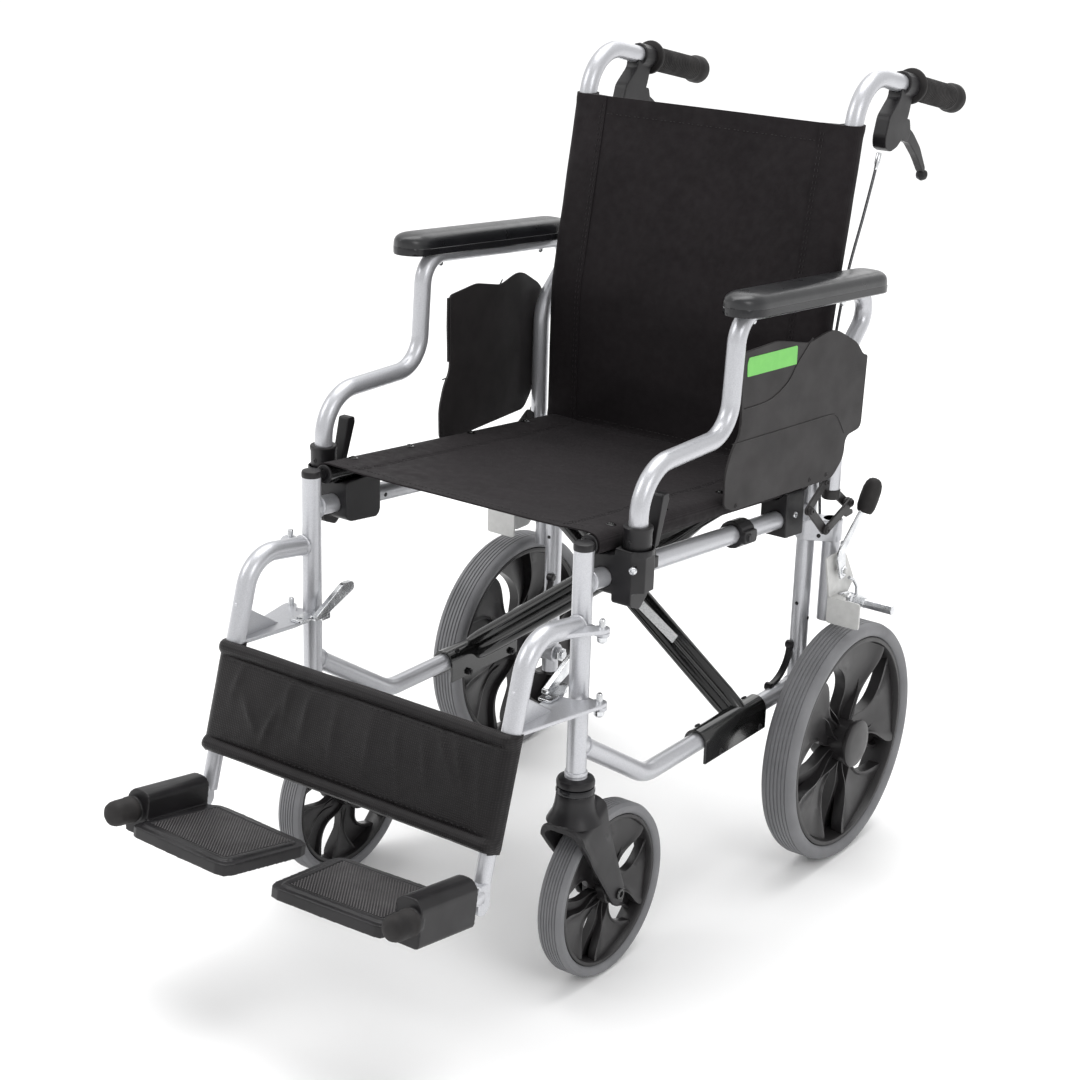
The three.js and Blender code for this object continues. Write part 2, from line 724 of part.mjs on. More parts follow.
// ---- parking brake over the rear tyre
const BRAKE_PIVOT = [150, 376];
const SHOE_PIVOT = [162, 338];
function brakeBase() {
  const web = plate(
    'yz',
    [[120, 398], [134, 345], [136, 322], [166, 322], [188, 343], [196, 352], [170, 392], [150, 398]],
    237.4,
    240.4,
    4,
  );
  const arm = plate('yz', [[158, 345], [186, 345], [186, 372], [158, 372]], 228.4, 238, 2);
  const face = plate('zx', [[311, 238], [311, 283], [345, 283], [345, 238]], 133, 136, 4);
  const fold = plate('xy', [[238, 134], [258, 134], [258, 144], [238, 150]], 342, 345);
  const leverPin = rod(V(239, ...BRAKE_PIVOT), V(253, ...BRAKE_PIVOT), 3.5, 8);
  const shoePin = rod(V(239, ...SHOE_PIVOT), V(249.5, ...SHOE_PIVOT), 3.5, 8);
  const seat = rod(V(217, 172, 330), V(217, 172, 380), TUBE_R + GAP, 18);
  return cut(fuse(web, arm, face, fold, leverPin, shoePin), seat);
}
addPair('brake_base', brakeBase(), STEEL);

function parkingLever() {
  const strap = plate(
    'yz',
    [[143, 366], [157, 368], [150, 402], [198, 446], [192, 453], [137, 408], [131, 398]],
    246.2,
    249.4,
    4,
  );
  const knobBase = V(249.5, 190, 441);
  const knobAxis = V(0.12, 0.33, 0.94).normalize();
  const knob = turned(
    [[0, 0], [8, 0], [10.5, 5], [11.2, 28], [9, 38], [5, 42], [0, 43.5]],
    knobBase,
    knobAxis,
    12,
  );
  const bore = rod(V(240, ...BRAKE_PIVOT), V(256, ...BRAKE_PIVOT), 4, 8);
  return cut(fuse(strap, knob), bore);
}
addPair('parking_lever', parkingLever(), STEEL);

function brakeShoe() {
  const arm = plate(
    'yz',
    [[155, 345], [155, 332], [166, 329], [226, 303], [231, 312], [226, 319], [176, 341]],
    241.4,
    244.6,
    3,
  );
  const bar = rod(V(241.6, 224, 311), V(283, 224, 311), 6.2, 12);
  const link = tube(
    [V(244, 190, 330), V(247, 192, 333), V(247.5, 190, 344), V(247.5, 180, 356), V(247.5, 168, 362)],
    2.4,
    8,
  );
  const bore = rod(V(238, ...SHOE_PIVOT), V(252, ...SHOE_PIVOT), 4, 8);
  return cut(fuse(arm, bar, link), bore);
}
addPair('brake_shoe', brakeShoe(), STEEL);

// ---- wheels
function tyreSolid(radius, inner, width, segments) {
  const w = width / 2;
  return turned(
    [
      [inner, -w * 0.86], [radius - 9, -w], [radius - 2, -w * 0.75], [radius, 0],
      [radius - 2, w * 0.75], [radius - 9, w], [inner, w * 0.86], [inner, -w * 0.86],
    ],
    V(0, 0, 0),
    V(1, 0, 0),
    segments,
  );
}

// A spoke whose section turns from hub to rim and widens where it meets the rim.
function blade(start, end, hubWidth, rimWidth, thickness, hubTwist, rimTwist) {
  const rings = [];
  for (const t of [0, 0.5, 1]) {
    const r = THREE.MathUtils.lerp(start, end, t);
    const twist = THREE.MathUtils.degToRad(THREE.MathUtils.lerp(hubTwist, rimTwist, t));
    const w = THREE.MathUtils.lerp(hubWidth, rimWidth, t * t) / 2;
    const section = [[-w, -thickness / 2], [w, -thickness / 2], [w, thickness / 2], [-w, thickness / 2]];
    rings.push(
      section.map(([u, v]) => {
        const depth = v * Math.cos(twist) + u * Math.sin(twist);
        const across = u * Math.cos(twist) - v * Math.sin(twist);
        return V(depth, across, r);
      }),
    );
  }
  return loft(rings);
}

function rimSolid({ radius, width, wall, hubR, hubLow, hubHigh, bore, capR, blades, segments }) {
  const w = width / 2;
  const band = turned(
    [
      [radius, -w], [radius, w], [radius - wall, w],
      [radius - wall * 1.4, 0], [radius - wall, -w], [radius, -w],
    ],
    V(0, 0, 0),
    V(1, 0, 0),
    segments,
  );
  const hub = turned(
    [
      [0, hubLow], [hubR, hubLow], [hubR, hubHigh - 8], [capR, hubHigh - 5],
      [capR * 0.9, hubHigh], [0, hubHigh],
    ],
    V(0, 0, 0),
    V(1, 0, 0),
    12,
  );
  const spokes = [];
  for (let k = 0; k < blades.count; k++) {
    const turn = (360 * k) / blades.count + blades.phase;
    const { hubWidth, rimWidth, thickness, hubTwist, rimTwist } = blades;
    const spoke = blade(hubR - 5, radius - wall * 1.1, hubWidth, rimWidth, thickness, hubTwist, rimTwist);
    spokes.push(spoke.rotate([turn, 0, 0]));
  }
  return cut(fuse(band, hub, spokes), bore);
}

function rearRim() {
  return rimSolid({
    radius: RIM_R - GAP,
    width: 37,
    wall: 6,
    hubR: 22,
    hubLow: -26,
    hubHigh: 30,
    capR: 28,
    segments: 30,
    blades: { count: 5, phase: 10, hubWidth: 30, rimWidth: 62, thickness: 6, hubTwist: 52, rimTwist: 10 },
    bore: rod(V(-40, 0, 0), V(20, 0, 0), 6.5, 12),
  });
}

function casterRim() {
  return rimSolid({
    radius: CASTER_RIM_R - GAP,
    width: 26,
    wall: 5,
    hubR: 15,
    hubLow: -16.5,
    hubHigh: 16.5,
    capR: 15,
    segments: 26,
    blades: { count: 5, phase: 24, hubWidth: 18, rimWidth: 40, thickness: 5, hubTwist: 50, rimTwist: 8 },
    bore: rod(V(-30, 0, 0), V(30, 0, 0), 5.5, 10),
  });
}

function casterFork() {
  const cheek = plate(
    'yz',
    [
      [FRONT_Y - 22, 232], [FRONT_Y - 27, 214, 6], [FRONT_Y - 31, 196, 6], [FRONT_Y - 18, 182, 12],
      [CASTER_Y - 16, 100, 14], [CASTER_Y - 8, 86, 14], [CASTER_Y + 14, 88, 14], [CASTER_Y + 15, 108, 14],
      [CASTER_Y - 4, 186, 20], [FRONT_Y + 24, 226, 12], [FRONT_Y + 22, 232],
    ],
    CASTER_X - 26,
    CASTER_X + 26,
    6,
  );
  const room = rod(V(CASTER_X - 18.6, CASTER_Y, CASTER_R), V(CASTER_X + 18.6, CASTER_Y, CASTER_R), 106, 26);
  const crown = turned(
    [[0, 226], [23, 226], [23, 233], [22, 239], [19.5, 240], [19.5, 247], [17, 248.6], [0, 248.6]],
    V(FRAME_X, FRONT_Y, 0),
    V(0, 0, 1),
    16,
  );
  const axle = rod(V(CASTER_X - 28, CASTER_Y, CASTER_R), V(CASTER_X + 28, CASTER_Y, CASTER_R), 5, 10);
  const trim = [-1, 1].map((s) =>
    plate(
      'zx',
      [
        [80, CASTER_X + s * 26.1], [80, CASTER_X + s * 40], [225, CASTER_X + s * 40],
        [215, CASTER_X + s * 26.1], [170, CASTER_X + s * 22.6], [80, CASTER_X + s * 22.6],
      ],
      -360,
      -230,
    ),
  );
  return fuse(cut(cheek, room, trim), crown, axle);
}

for (const [tag, side] of [['left', 1], ['right', -1]]) {
  const facing = (solid) => (side > 0 ? solid : mirrored(solid));
  const rear = new THREE.Group();
  rear.position.set(side * WHEEL_X, REAR_Y, WHEEL_R);
  chair.add(rear);
  add(rear, `rear_tyre_${tag}`, facing(tyreSolid(WHEEL_R, RIM_R, WHEEL_W, 30)), TYRE);
  add(rear, `rear_rim_${tag}`, facing(rearRim()), PLASTIC);
  const front = new THREE.Group();
  front.position.set(side * CASTER_X, CASTER_Y, CASTER_R);
  chair.add(front);
  add(front, `caster_tyre_${tag}`, facing(tyreSolid(CASTER_R, CASTER_RIM_R, CASTER_W, 26)), TYRE);
  add(front, `caster_rim_${tag}`, facing(casterRim()), PLASTIC);
}
addPair('caster_fork', casterFork(), PLASTIC);

// ---- scissor brace: each arm is welded to a sleeve on one lower rail and to the opposite seat tube
const ARM_TOP_Z = seatZ(0);
const centreZ = THREE.MathUtils.lerp(LOWER_RAIL_Z, ARM_TOP_Z, FRAME_X / (FRAME_X + SEAT_X));

function braceArm(y) {
  const top = V(-SEAT_X, y, ARM_TOP_Z);
  const foot = V(FRAME_X, y, LOWER_RAIL_Z);
  const along = top.clone().sub(foot).normalize();
  const across = V(-along.z, 0, along.x);
  const length = top.distanceTo(foot);
  const at = (d, w) => {
    const p = foot.clone().addScaledVector(along, d).addScaledVector(across, w);
    return [p.z, p.x];
  };
  const outline = [
    at(0, 15), at(30, 18), at(length - 110, 18), at(length - 45, 8), at(length, 7),
    at(length, -7), at(length - 45, -8), at(length - 110, -18), at(30, -18), at(0, -15),
  ];
  const bar = plate('zx', outline, y - ARM_PLATE, y + ARM_PLATE);
  const slit = [at(40, 1.5), at(length - 120, 1.5), at(length - 120, -1.5), at(40, -1.5)];
  const groove = plate('zx', slit, y - ARM_PLATE - 1, y - ARM_PLATE + 2);
  const sleeve = rod(V(FRAME_X, -78, LOWER_RAIL_Z), V(FRAME_X, 78, LOWER_RAIL_Z), 16);
  const tab = box(FRAME_X - 15.6, FRAME_X - 12, -60, -4, 182, LOWER_RAIL_Z);
  const seatTube = rod(V(-SEAT_X, -306, seatZ(-306)), V(-SEAT_X, 113, seatZ(113)), TUBE_R);
  const railBore = rod(V(FRAME_X, -90, LOWER_RAIL_Z), V(FRAME_X, 90, LOWER_RAIL_Z), TUBE_R + GAP, 24);
  const boltBore = rod(V(0, -60, centreZ), V(0, 60, centreZ), 5.4, 14);
  return cut(fuse(cut(bar, groove), sleeve, tab, seatTube), railBore, boltBore);
}
// The arm that starts at the left rail runs behind the other one.
add(chair, 'brace_rear', braceArm(BRACE_Y), BLACK_PAINT);
add(chair, 'brace_front', mirrored(braceArm(-BRACE_Y)), BLACK_PAINT);
add(
  chair,
  'brace_bolt',
  fuse(
    rod(V(0, -36, centreZ), V(0, 36, centreZ), 5, 10),
    rod(V(0, -36, centreZ), V(0, -30.4, centreZ), 9, 6),
    rod(V(0, 30.4, centreZ), V(0, 36, centreZ), 9, 6),
  ),
  STEEL,
);

// ---- upholstery
function seatSling() {
  const group = new THREE.Group();
  const r0 = TUBE_R + GAP;
  const r1 = r0 + 2.2;
  const outline = [];
  const arc = (cx, radius, from, to, steps) => {
    for (let k = 0; k <= steps; k++) {
      const angle = THREE.MathUtils.degToRad(THREE.MathUtils.lerp(from, to, k / steps));
      outline.push([radius * Math.sin(angle), cx + radius * Math.cos(angle)]);
    }
  };
  arc(SEAT_X, r1, -10, 100, 8);
  arc(-SEAT_X, r1, 80, 190, 8);
  arc(-SEAT_X, r0, 190, 80, 8);
  outline.push([r0 - 8, 0]);
  arc(SEAT_X, r0, 100, -10, 8);
  const solid = plate('zx', outline, -306, 142);
  group.position.set(0, 0, seatZ(0));
  group.rotation.x = -Math.atan(SEAT_SLOPE);
  chair.add(group);
  add(group, 'seat_sling', solid, FABRIC);
}
seatSling();

function backSling() {
  const r0 = TUBE_R + GAP + 0.3;
  const r1 = r0 + 2;
  const band = (low, high, offset, slope) => {
    const rings = [-1, 1].map((s) => {
      const ring = rod(V(s * FRAME_X, offset(low), low), V(s * FRAME_X, offset(high), high), r1, 12);
      return ring;
    });
    const sheet = plate(
      'yz',
      [
        [offset(low) - r1, low], [offset(low) - r1 + 2.4, low],
        [offset(high) - r1 + 2.4, high], [offset(high) - r1, high],
      ],
      -FRAME_X,
      FRAME_X,
    );
    return fuse(rings, sheet);
  };
  const body = fuse(band(482, CANE_BEND_Z, caneY), band(CANE_BEND_Z, 903, caneY));
  const bores = [-1, 1].map((s) =>
    tube(
      bentRoute(
        [V(s * FRAME_X, REAR_Y, 460), V(s * FRAME_X, REAR_Y, CANE_BEND_Z), V(s * FRAME_X, caneY(940), 940)],
        150,
        13,
      ),
      r0,
      12,
    ),
  );
  return cut(body, bores);
}
add(chair, 'back_sling', backSling(), FABRIC);

function calfPad() {
  const line = (z) => -419 - ((449 - z) * 74) / 255 - TUBE_R - GAP - 0.6;
  const outline = [[line(355), 355], [line(233), 233], [line(233) - 4.5, 232], [line(355) - 4.5, 354]];
  return plate('yz', outline, -209, 209, 2);
}
add(chair, 'calf_pad', calfPad(), FABRIC);

export default chair;
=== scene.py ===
"""The visual model of a folding transit wheelchair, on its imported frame.

Everything is in the row frame, in metres: +Z up, the chair faces -Y, +X is the seated user's left. Positions are
written in millimetres, with y measured from the CAD source's own zero, and at() turns them into row metres.
Each side piece is drawn once on the left and mirrored to the right.
"""

import json
import math

import bmesh
import bpy
from mathutils import Matrix, Vector, noise

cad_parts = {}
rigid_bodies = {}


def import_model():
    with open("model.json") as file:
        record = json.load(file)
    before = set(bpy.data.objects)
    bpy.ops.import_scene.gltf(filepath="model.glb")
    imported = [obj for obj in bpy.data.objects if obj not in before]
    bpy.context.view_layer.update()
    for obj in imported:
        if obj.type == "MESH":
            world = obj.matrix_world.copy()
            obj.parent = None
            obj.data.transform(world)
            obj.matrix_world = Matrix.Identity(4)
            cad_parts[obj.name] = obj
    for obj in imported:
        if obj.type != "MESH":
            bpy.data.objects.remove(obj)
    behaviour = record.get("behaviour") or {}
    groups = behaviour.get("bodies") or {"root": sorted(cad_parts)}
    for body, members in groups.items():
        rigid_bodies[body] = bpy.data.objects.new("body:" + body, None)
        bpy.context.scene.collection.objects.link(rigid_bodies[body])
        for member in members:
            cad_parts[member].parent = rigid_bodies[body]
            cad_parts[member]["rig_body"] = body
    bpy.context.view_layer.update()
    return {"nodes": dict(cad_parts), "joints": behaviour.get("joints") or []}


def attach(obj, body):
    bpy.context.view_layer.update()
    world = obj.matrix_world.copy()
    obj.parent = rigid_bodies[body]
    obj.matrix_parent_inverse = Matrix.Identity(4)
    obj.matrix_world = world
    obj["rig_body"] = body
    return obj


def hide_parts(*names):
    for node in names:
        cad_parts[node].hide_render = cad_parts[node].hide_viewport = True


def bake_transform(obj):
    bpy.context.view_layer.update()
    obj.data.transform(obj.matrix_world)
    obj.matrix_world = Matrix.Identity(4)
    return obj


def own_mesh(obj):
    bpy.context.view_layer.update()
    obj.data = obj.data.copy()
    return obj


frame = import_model()
NODES = frame["nodes"]
JOINTS = {joint["name"]: joint for joint in frame["joints"]}

MM = 0.001
SIDES = (("left", 1), ("right", -1))

# Driving dimensions in millimetres, the same as the CAD source's
TUBE_R = 11.1
FRAME_X = 189.5
FRONT_Y = -323.0
REAR_Y = 157.5
OUTER_X = 219.8
SEAT_SLOPE = 0.0858
RAIL_FRONT_Z = 480.5
SEAT_X = 184.5
SEAT_RISE = 38.6
LOWER_Z = 211.0
CANE_BEND_Z = 661.0
CANE_SLOPE = 0.188
HANDLE = (338.0, 935.0)
HANDLE_DROP = 0.214
WHEEL = dict(x=254.15, y=157.5, r=152.4, width=44.7, rim=134.4)
CASTER = dict(x=191.3, y=-268.4, r=101.6, width=32.6, rim=88.4)
HANGER_X = 193.0
FOOT = (195.0, -508.0, 191.5)
FOOT_TILT = math.radians(9)
RIB_ANGLE = math.radians(54.3)
RIB_PITCH = 2.9
ARM_HINGE = (190.0, 449.0)
OUTER_POST = (217, 172)
BRACE_SLEEVE_R = 15.4

SHIFT = JOINTS["rear_wheel_left"]["pos_m"][1] - REAR_Y * MM

UP, OUT, AHEAD = Vector((0, 0, 1)), Vector((1, 0, 0)), Vector((0, -1, 0))


def at(x, y, z):
    return Vector((x * MM, y * MM + SHIFT, z * MM))


def rail_z(y):
    return RAIL_FRONT_Z - SEAT_SLOPE * (y - FRONT_Y)


def seat_z(y):
    return rail_z(y) + SEAT_RISE


def cane_y(z):
    return REAR_Y + CANE_SLOPE * max(0.0, z - CANE_BEND_Z)


def lerp(a, b, t):
    return a + (b - a) * t


def smooth(t):
    t = min(1.0, max(0.0, t))
    return t * t * (3 - 2 * t)


# ---------------------------------------------------------------- materials
class Surface:
    """A Principled material whose colour, roughness and bump come from patterns in the piece's own coordinates."""

    def __init__(self, name, **sockets):
        self.material = bpy.data.materials.new(name)
        self.material.use_nodes = True
        self.tree = self.material.node_tree
        self.shader = self.tree.nodes["Principled BSDF"]
        for socket, value in sockets.items():
            self.shader.inputs[socket.replace("_", " ")].default_value = value
        self.coordinates = self.node("ShaderNodeTexCoord").outputs["Object"]
        self.height = None

    def node(self, kind, **settings):
        made = self.tree.nodes.new(kind)
        for key, value in settings.items():
            setattr(made, key, value)
        return made

    def link(self, source, target):
        self.tree.links.new(source, target)

    def noise(self, scale, detail=3.0, stretch=(1, 1, 1)):
        mapping = self.node("ShaderNodeMapping")
        mapping.inputs["Scale"].default_value = stretch
        self.link(self.coordinates, mapping.inputs["Vector"])
        texture = self.node("ShaderNodeTexNoise")
        texture.inputs["Scale"].default_value = scale
        texture.inputs["Detail"].default_value = detail
        self.link(mapping.outputs[0], texture.inputs["Vector"])
        return texture.outputs["Fac"]

    def bands(self, pitch, axis, distortion=0.0):
        """Waves a pitch apart along an axis, in metres."""
        texture = self.node("ShaderNodeTexWave", bands_direction=axis)
        texture.inputs["Scale"].default_value = 2 * math.pi / (20 * pitch)
        texture.inputs["Distortion"].default_value = distortion
        self.link(self.coordinates, texture.inputs["Vector"])
        return texture.outputs["Fac"]

    def math(self, operation, a, b):
        made = self.node("ShaderNodeMath", operation=operation)
        for socket, value in zip(made.inputs, (a, b)):
            if isinstance(value, (int, float)):
                socket.default_value = value
            else:
                self.link(value, socket)
        return made.outputs[0]

    def spread(self, value, low, high, start=0.3, end=0.7):
        """value between start and end, spread over low to high."""
        made = self.node("ShaderNodeMapRange")
        self.link(value, made.inputs["Value"])
        for socket, number in zip(("From Min", "From Max", "To Min", "To Max"), (start, end, low, high)):
            made.inputs[socket].default_value = number
        return made.outputs[0]

    def colours(self, value, dark, light, start=0.3, end=0.7):
        ramp = self.node("ShaderNodeValToRGB")
        ramp.color_ramp.elements[0].position = start
        ramp.color_ramp.elements[1].position = end
        ramp.color_ramp.elements[0].color = (*dark, 1)
        ramp.color_ramp.elements[1].color = (*light, 1)
        self.link(value, ramp.inputs["Fac"])
        self.link(ramp.outputs["Color"], self.shader.inputs["Base Color"])
        return self

    def roughness(self, value, low, high):
        self.link(self.spread(value, low, high), self.shader.inputs["Roughness"])
        return self

    def bump(self, value, depth):
        """Adds a relief that is depth millimetres high."""
        made = self.node("ShaderNodeBump")
        made.inputs["Distance"].default_value = depth * MM
        made.inputs["Strength"].default_value = 1.0
        self.link(value, made.inputs["Height"])
        if self.height:
            self.link(self.height, made.inputs["Normal"])
        self.height = made.outputs["Normal"]
        self.link(self.height, self.shader.inputs["Normal"])
        return self


def noisy(name, colour, rough, *reliefs, **sockets):
    """A surface from noises: colour and rough are (noise, low, high), each relief is (noise, millimetres)."""
    s = Surface(name, **sockets)
    s.colours(s.noise(*colour[0]), *colour[1:])
    s.roughness(s.noise(*rough[0]), *rough[1:])
    for pattern, depth in reliefs:
        s.bump(s.noise(*pattern), depth)
    return s


def surface(*patterns, **sockets):
    return noisy(*patterns, **sockets).material


def moulded(name, dark, light, low, high, grain=0.03, scale=1500, shine=0.34):
    relief = ((scale, 2), grain), ((70, 3), 0.05)
    return surface(name, ((22, 5), dark, light), ((30, 5), low, high), *relief, Specular_IOR_Level=shine)


def woven(name, dark, light, axes, pitch, depth, low=0.62, high=0.85, shine=0.16):
    """A plain weave in the plane of two axes, with slubs, faded folds and lint."""
    s = Surface(name, Sheen_Weight=0.04, Sheen_Roughness=0.5, Specular_IOR_Level=shine)
    warp, weft = (s.bands(pitch * MM, axis, distortion=0.4) for axis in axes)
    cloth = s.math("MULTIPLY", warp, weft)
    shade = s.math("ADD", s.math("MULTIPLY", cloth, 0.55), s.math("MULTIPLY", s.noise(14, 5), 0.6))
    s.colours(shade, dark, light, 0.15, 0.85)
    s.roughness(s.noise(90, 4), low, high)
    return s.bump(cloth, depth).bump(s.noise(55, 4), 0.25).material


def stitched_skin():
    colour, rough = ((30, 5), (0.0065, 0.0068, 0.008), (0.012, 0.0125, 0.0142)), ((50, 4), 0.26, 0.38)
    s = noisy("black_pad_skin", colour, rough, Coat_Weight=0.3, Coat_Roughness=0.22, Specular_IOR_Level=0.4)
    cell = s.node("ShaderNodeTexVoronoi", feature="DISTANCE_TO_EDGE")
    cell.inputs["Scale"].default_value = 520
    s.link(s.coordinates, cell.inputs["Vector"])
    return s.bump(cell.outputs["Distance"], 0.12).bump(s.noise(40, 3), 0.1).material


def cable_skin():
    s = Surface("cable_outer", Coat_Weight=0.2, Coat_Roughness=0.2)
    twist = s.bands(3.2 * MM, "DIAGONAL")
    s.colours(twist, (0.045, 0.046, 0.05), (0.10, 0.10, 0.108), 0.2, 0.8)
    s.roughness(s.noise(200), 0.25, 0.4)
    return s.bump(twist, 0.06).material


SILVER = surface(
    "silver_paint", ((900, 2), (0.46, 0.465, 0.49), (0.55, 0.556, 0.58)), ((260, 2), 0.31, 0.36), ((500, 2), 0.003),
    Metallic=0.55, Coat_Weight=0.25, Coat_Roughness=0.2,
)
STEEL = surface(
    "zinc_steel", ((60, 4), (0.52, 0.53, 0.55), (0.78, 0.79, 0.80)), ((110, 5), 0.14, 0.32),
    ((420, 3, (1, 1, 6)), 0.02), Metallic=0.95,
)
PALE = surface(
    "light_grey_paint", ((120, 3), (0.50, 0.50, 0.49), (0.57, 0.57, 0.56)), ((60,), 0.35, 0.5), ((900, 2), 0.02),
    Metallic=0.1,
)
GLOSS = surface(
    "black_gloss_paint", ((300, 3), (0.004,) * 3, (0.008,) * 3), ((45, 4), 0.1, 0.2), ((180, 2), 0.008),
    Coat_Weight=0.35, Coat_Roughness=0.05,
)
TYRE = surface(
    "grey_tyre_rubber", ((18, 6), (0.145, 0.146, 0.153), (0.19, 0.191, 0.199)), ((40, 5), 0.5, 0.68),
    ((700, 3), 0.05), Specular_IOR_Level=0.35,
)
# The tread ribs are the footplate's own black plastic; this lighter grey is painted highlight, standing in for the
# light their crests catch
RIB_PAINTED_HIGHLIGHT = surface(
    "tread_ribs", ((26, 5), (0.05, 0.047, 0.048), (0.082, 0.077, 0.079)), ((80, 4), 0.45, 0.65), ((900, 2), 0.04),
    Specular_IOR_Level=0.3,
)
GRIP = surface(
    "grip_rubber", ((40, 5), (0.012, 0.011, 0.0115), (0.026, 0.024, 0.0235)), ((60, 4), 0.55, 0.75),
    ((900, 3), 0.12), Specular_IOR_Level=0.25,
)
GREEN = surface(
    "green_sticker", ((70, 4), (0.13, 0.50, 0.075), (0.16, 0.56, 0.09)), ((90,), 0.3, 0.42), ((300, 2), 0.02),
    Coat_Weight=0.3, Coat_Roughness=0.15,
)
LABEL = surface(
    "white_label", ((400, 3, (1, 1, 4)), (0.42, 0.43, 0.44), (0.72, 0.73, 0.73), 0.35, 0.5), ((90,), 0.3, 0.45),
    ((500, 2), 0.02), Coat_Weight=0.2,
)
SKIN = stitched_skin()
CABLE = cable_skin()
PLASTIC = moulded("black_plastic", (0.0075, 0.007, 0.0078), (0.014, 0.013, 0.0145), 0.32, 0.46)
PANEL = moulded("panel_plastic", (0.0165, 0.0148, 0.0152), (0.026, 0.0235, 0.024), 0.44, 0.6, 0.05, 1100)
RIM = moulded("rim_plastic", (0.012, 0.0112, 0.0118), (0.022, 0.0205, 0.0215), 0.3, 0.44, 0.04, 1300, 0.42)
LINKS = moulded("link_plastic", (0.014, 0.013, 0.0132), (0.024, 0.022, 0.0225), 0.36, 0.5)
BAND = moulded("pad_base_plastic", (0.010, 0.010, 0.011), (0.016, 0.016, 0.018), 0.12, 0.24, 0.01)
THREAD = moulded("black_thread", (0.012, 0.0105, 0.0112), (0.022, 0.019, 0.020), 0.5, 0.7, 0.08, 900)
NYLON = (0.0062, 0.0046, 0.0054), (0.017, 0.0134, 0.015)
SEAT_CLOTH = woven("seat_nylon", *NYLON, "XY", 1.3, 0.14)
BACK_CLOTH = woven("back_nylon", *NYLON, "XZ", 1.3, 0.14)
MESH = (0.0024, 0.0018, 0.0021), (0.012, 0.0098, 0.0108)
CALF_CLOTH = woven("calf_mesh_cloth", *MESH, "XZ", 2.6, 0.3, 0.4, 0.55, 0.24)
TAPE = woven("edge_tape", (0.005, 0.004, 0.0045), (0.019, 0.016, 0.0172), "XZ", 1.8, 0.25)


# ---------------------------------------------------------------- shapes, each a list of (points, faces)
def skin(rings, caps=True, loop=False):
    """Faces between rings of points. Each ring closes on itself; loop also joins the last ring to the first."""
    count = len(rings[0])
    points = [p for ring in rings for p in ring]
    faces = []
    last = len(rings) if loop else len(rings) - 1
    for r in range(last):
        a, b = r * count, ((r + 1) % len(rings)) * count
        for k in range(count):
            n = (k + 1) % count
            faces.append((a + k, a + n, b + n, b + k))
    if caps and not loop:
        faces.append(tuple(reversed(range(count))))
        faces.append(tuple(range((len(rings) - 1) * count, len(rings) * count)))
    return [(points, faces)]


def route(corners, bends, step=6.0):
    """The line through corner points, with each inner corner turned into an arc."""
    out = [corners[0]]
    for i in range(1, len(corners) - 1):
        here = corners[i]
        a = (corners[i - 1] - here).normalized()
        b = (corners[i + 1] - here).normalized()
        turn = math.pi - a.angle(b)
        radius = bends[i - 1] * MM
        reach = radius * math.tan(turn / 2)
        centre = here + (a + b).normalized() * radius / math.cos(turn / 2)
        start = here + a * reach - centre
        axis = start.cross(here + b * reach - centre).normalized()
        steps = max(2, math.ceil(math.degrees(turn) / step))
        for k in range(steps + 1):
            out.append(centre + Matrix.Rotation(turn * k / steps, 3, axis) @ start)
    return out + [corners[-1]]


def sweep(points, section):
    """A section of (u, v) millimetres carried along points."""
    rings = []
    u = None
    for i, point in enumerate(points):
        t = (points[min(len(points) - 1, i + 1)] - points[max(0, i - 1)]).normalized()
        if u is None:
            u = OUT if abs(t.x) < 0.9 else UP
        u = (u - t * u.dot(t)).normalized()
        v = t.cross(u)
        rings.append([point + u * (a * MM) + v * (b * MM) for a, b in section])
    return skin(rings)


def circle(radius, sides=28):
    turns = (2 * math.pi * k / sides for k in range(sides))
    return [(radius * math.cos(turn), radius * math.sin(turn)) for turn in turns]


def tube(points, radius, sides=28):
    return sweep(points, circle(radius, sides))


def rod(a, b, radius, sides=24, bevel=0.6):
    """A straight round bar with softened ends."""
    along = (b - a).normalized()
    length = (b - a).length / MM
    inner = radius - bevel
    profile = [(0, 0), (inner, 0), (radius, bevel), (radius, length - bevel), (inner, length), (0, length)]
    return lathe(profile, a, along, sides)


def lathe(profile, origin, axis, segments=32):
    """A profile of (radius, height) millimetres turned about an axis."""
    turn = UP.rotation_difference(axis.normalized())
    rings = []
    for k in range(segments):
        angle = 2 * math.pi * k / segments
        ring = [Vector((r * math.cos(angle), r * math.sin(angle), h)) * MM for r, h in profile]
        rings.append([origin + turn @ p for p in ring])
    points = [p for ring in rings for p in ring]
    count = len(profile)
    closed = profile[0] == profile[-1]
    faces = []
    for s in range(segments):
        a, b = s * count, ((s + 1) % segments) * count
        faces += [(a + k, a + k + 1, b + k + 1, b + k) for k in range(count - 1)]
    if not closed and profile[0][0] > 0:
        faces.append(tuple(s * count for s in range(segments)))
        faces.append(tuple(s * count + count - 1 for s in range(segments)))
    return [(points, faces)]


def rounded(outline, radius, steps=5):
    """An outline whose corners are eased; a third number in a point is its own radius."""
    out = []
    for i, point in enumerate(outline):
        here = Vector(point[:2])
        a = Vector(outline[i - 1][:2]) - here
        b = Vector(outline[(i + 1) % len(outline)][:2]) - here
        r = point[2] if len(point) > 2 else radius
        reach = min(r, a.length * 0.45, b.length * 0.45)
        start, end = here + a.normalized() * reach, here + b.normalized() * reach
        for k in range(steps + 1):
            t = k / steps
            out.append((start * (1 - t) ** 2 + here * (2 * t * (1 - t)) + end * t * t)[:])
    return out


PLANES = {"yz": (1, 2, 0), "xy": (0, 1, 2), "zx": (2, 0, 1)}


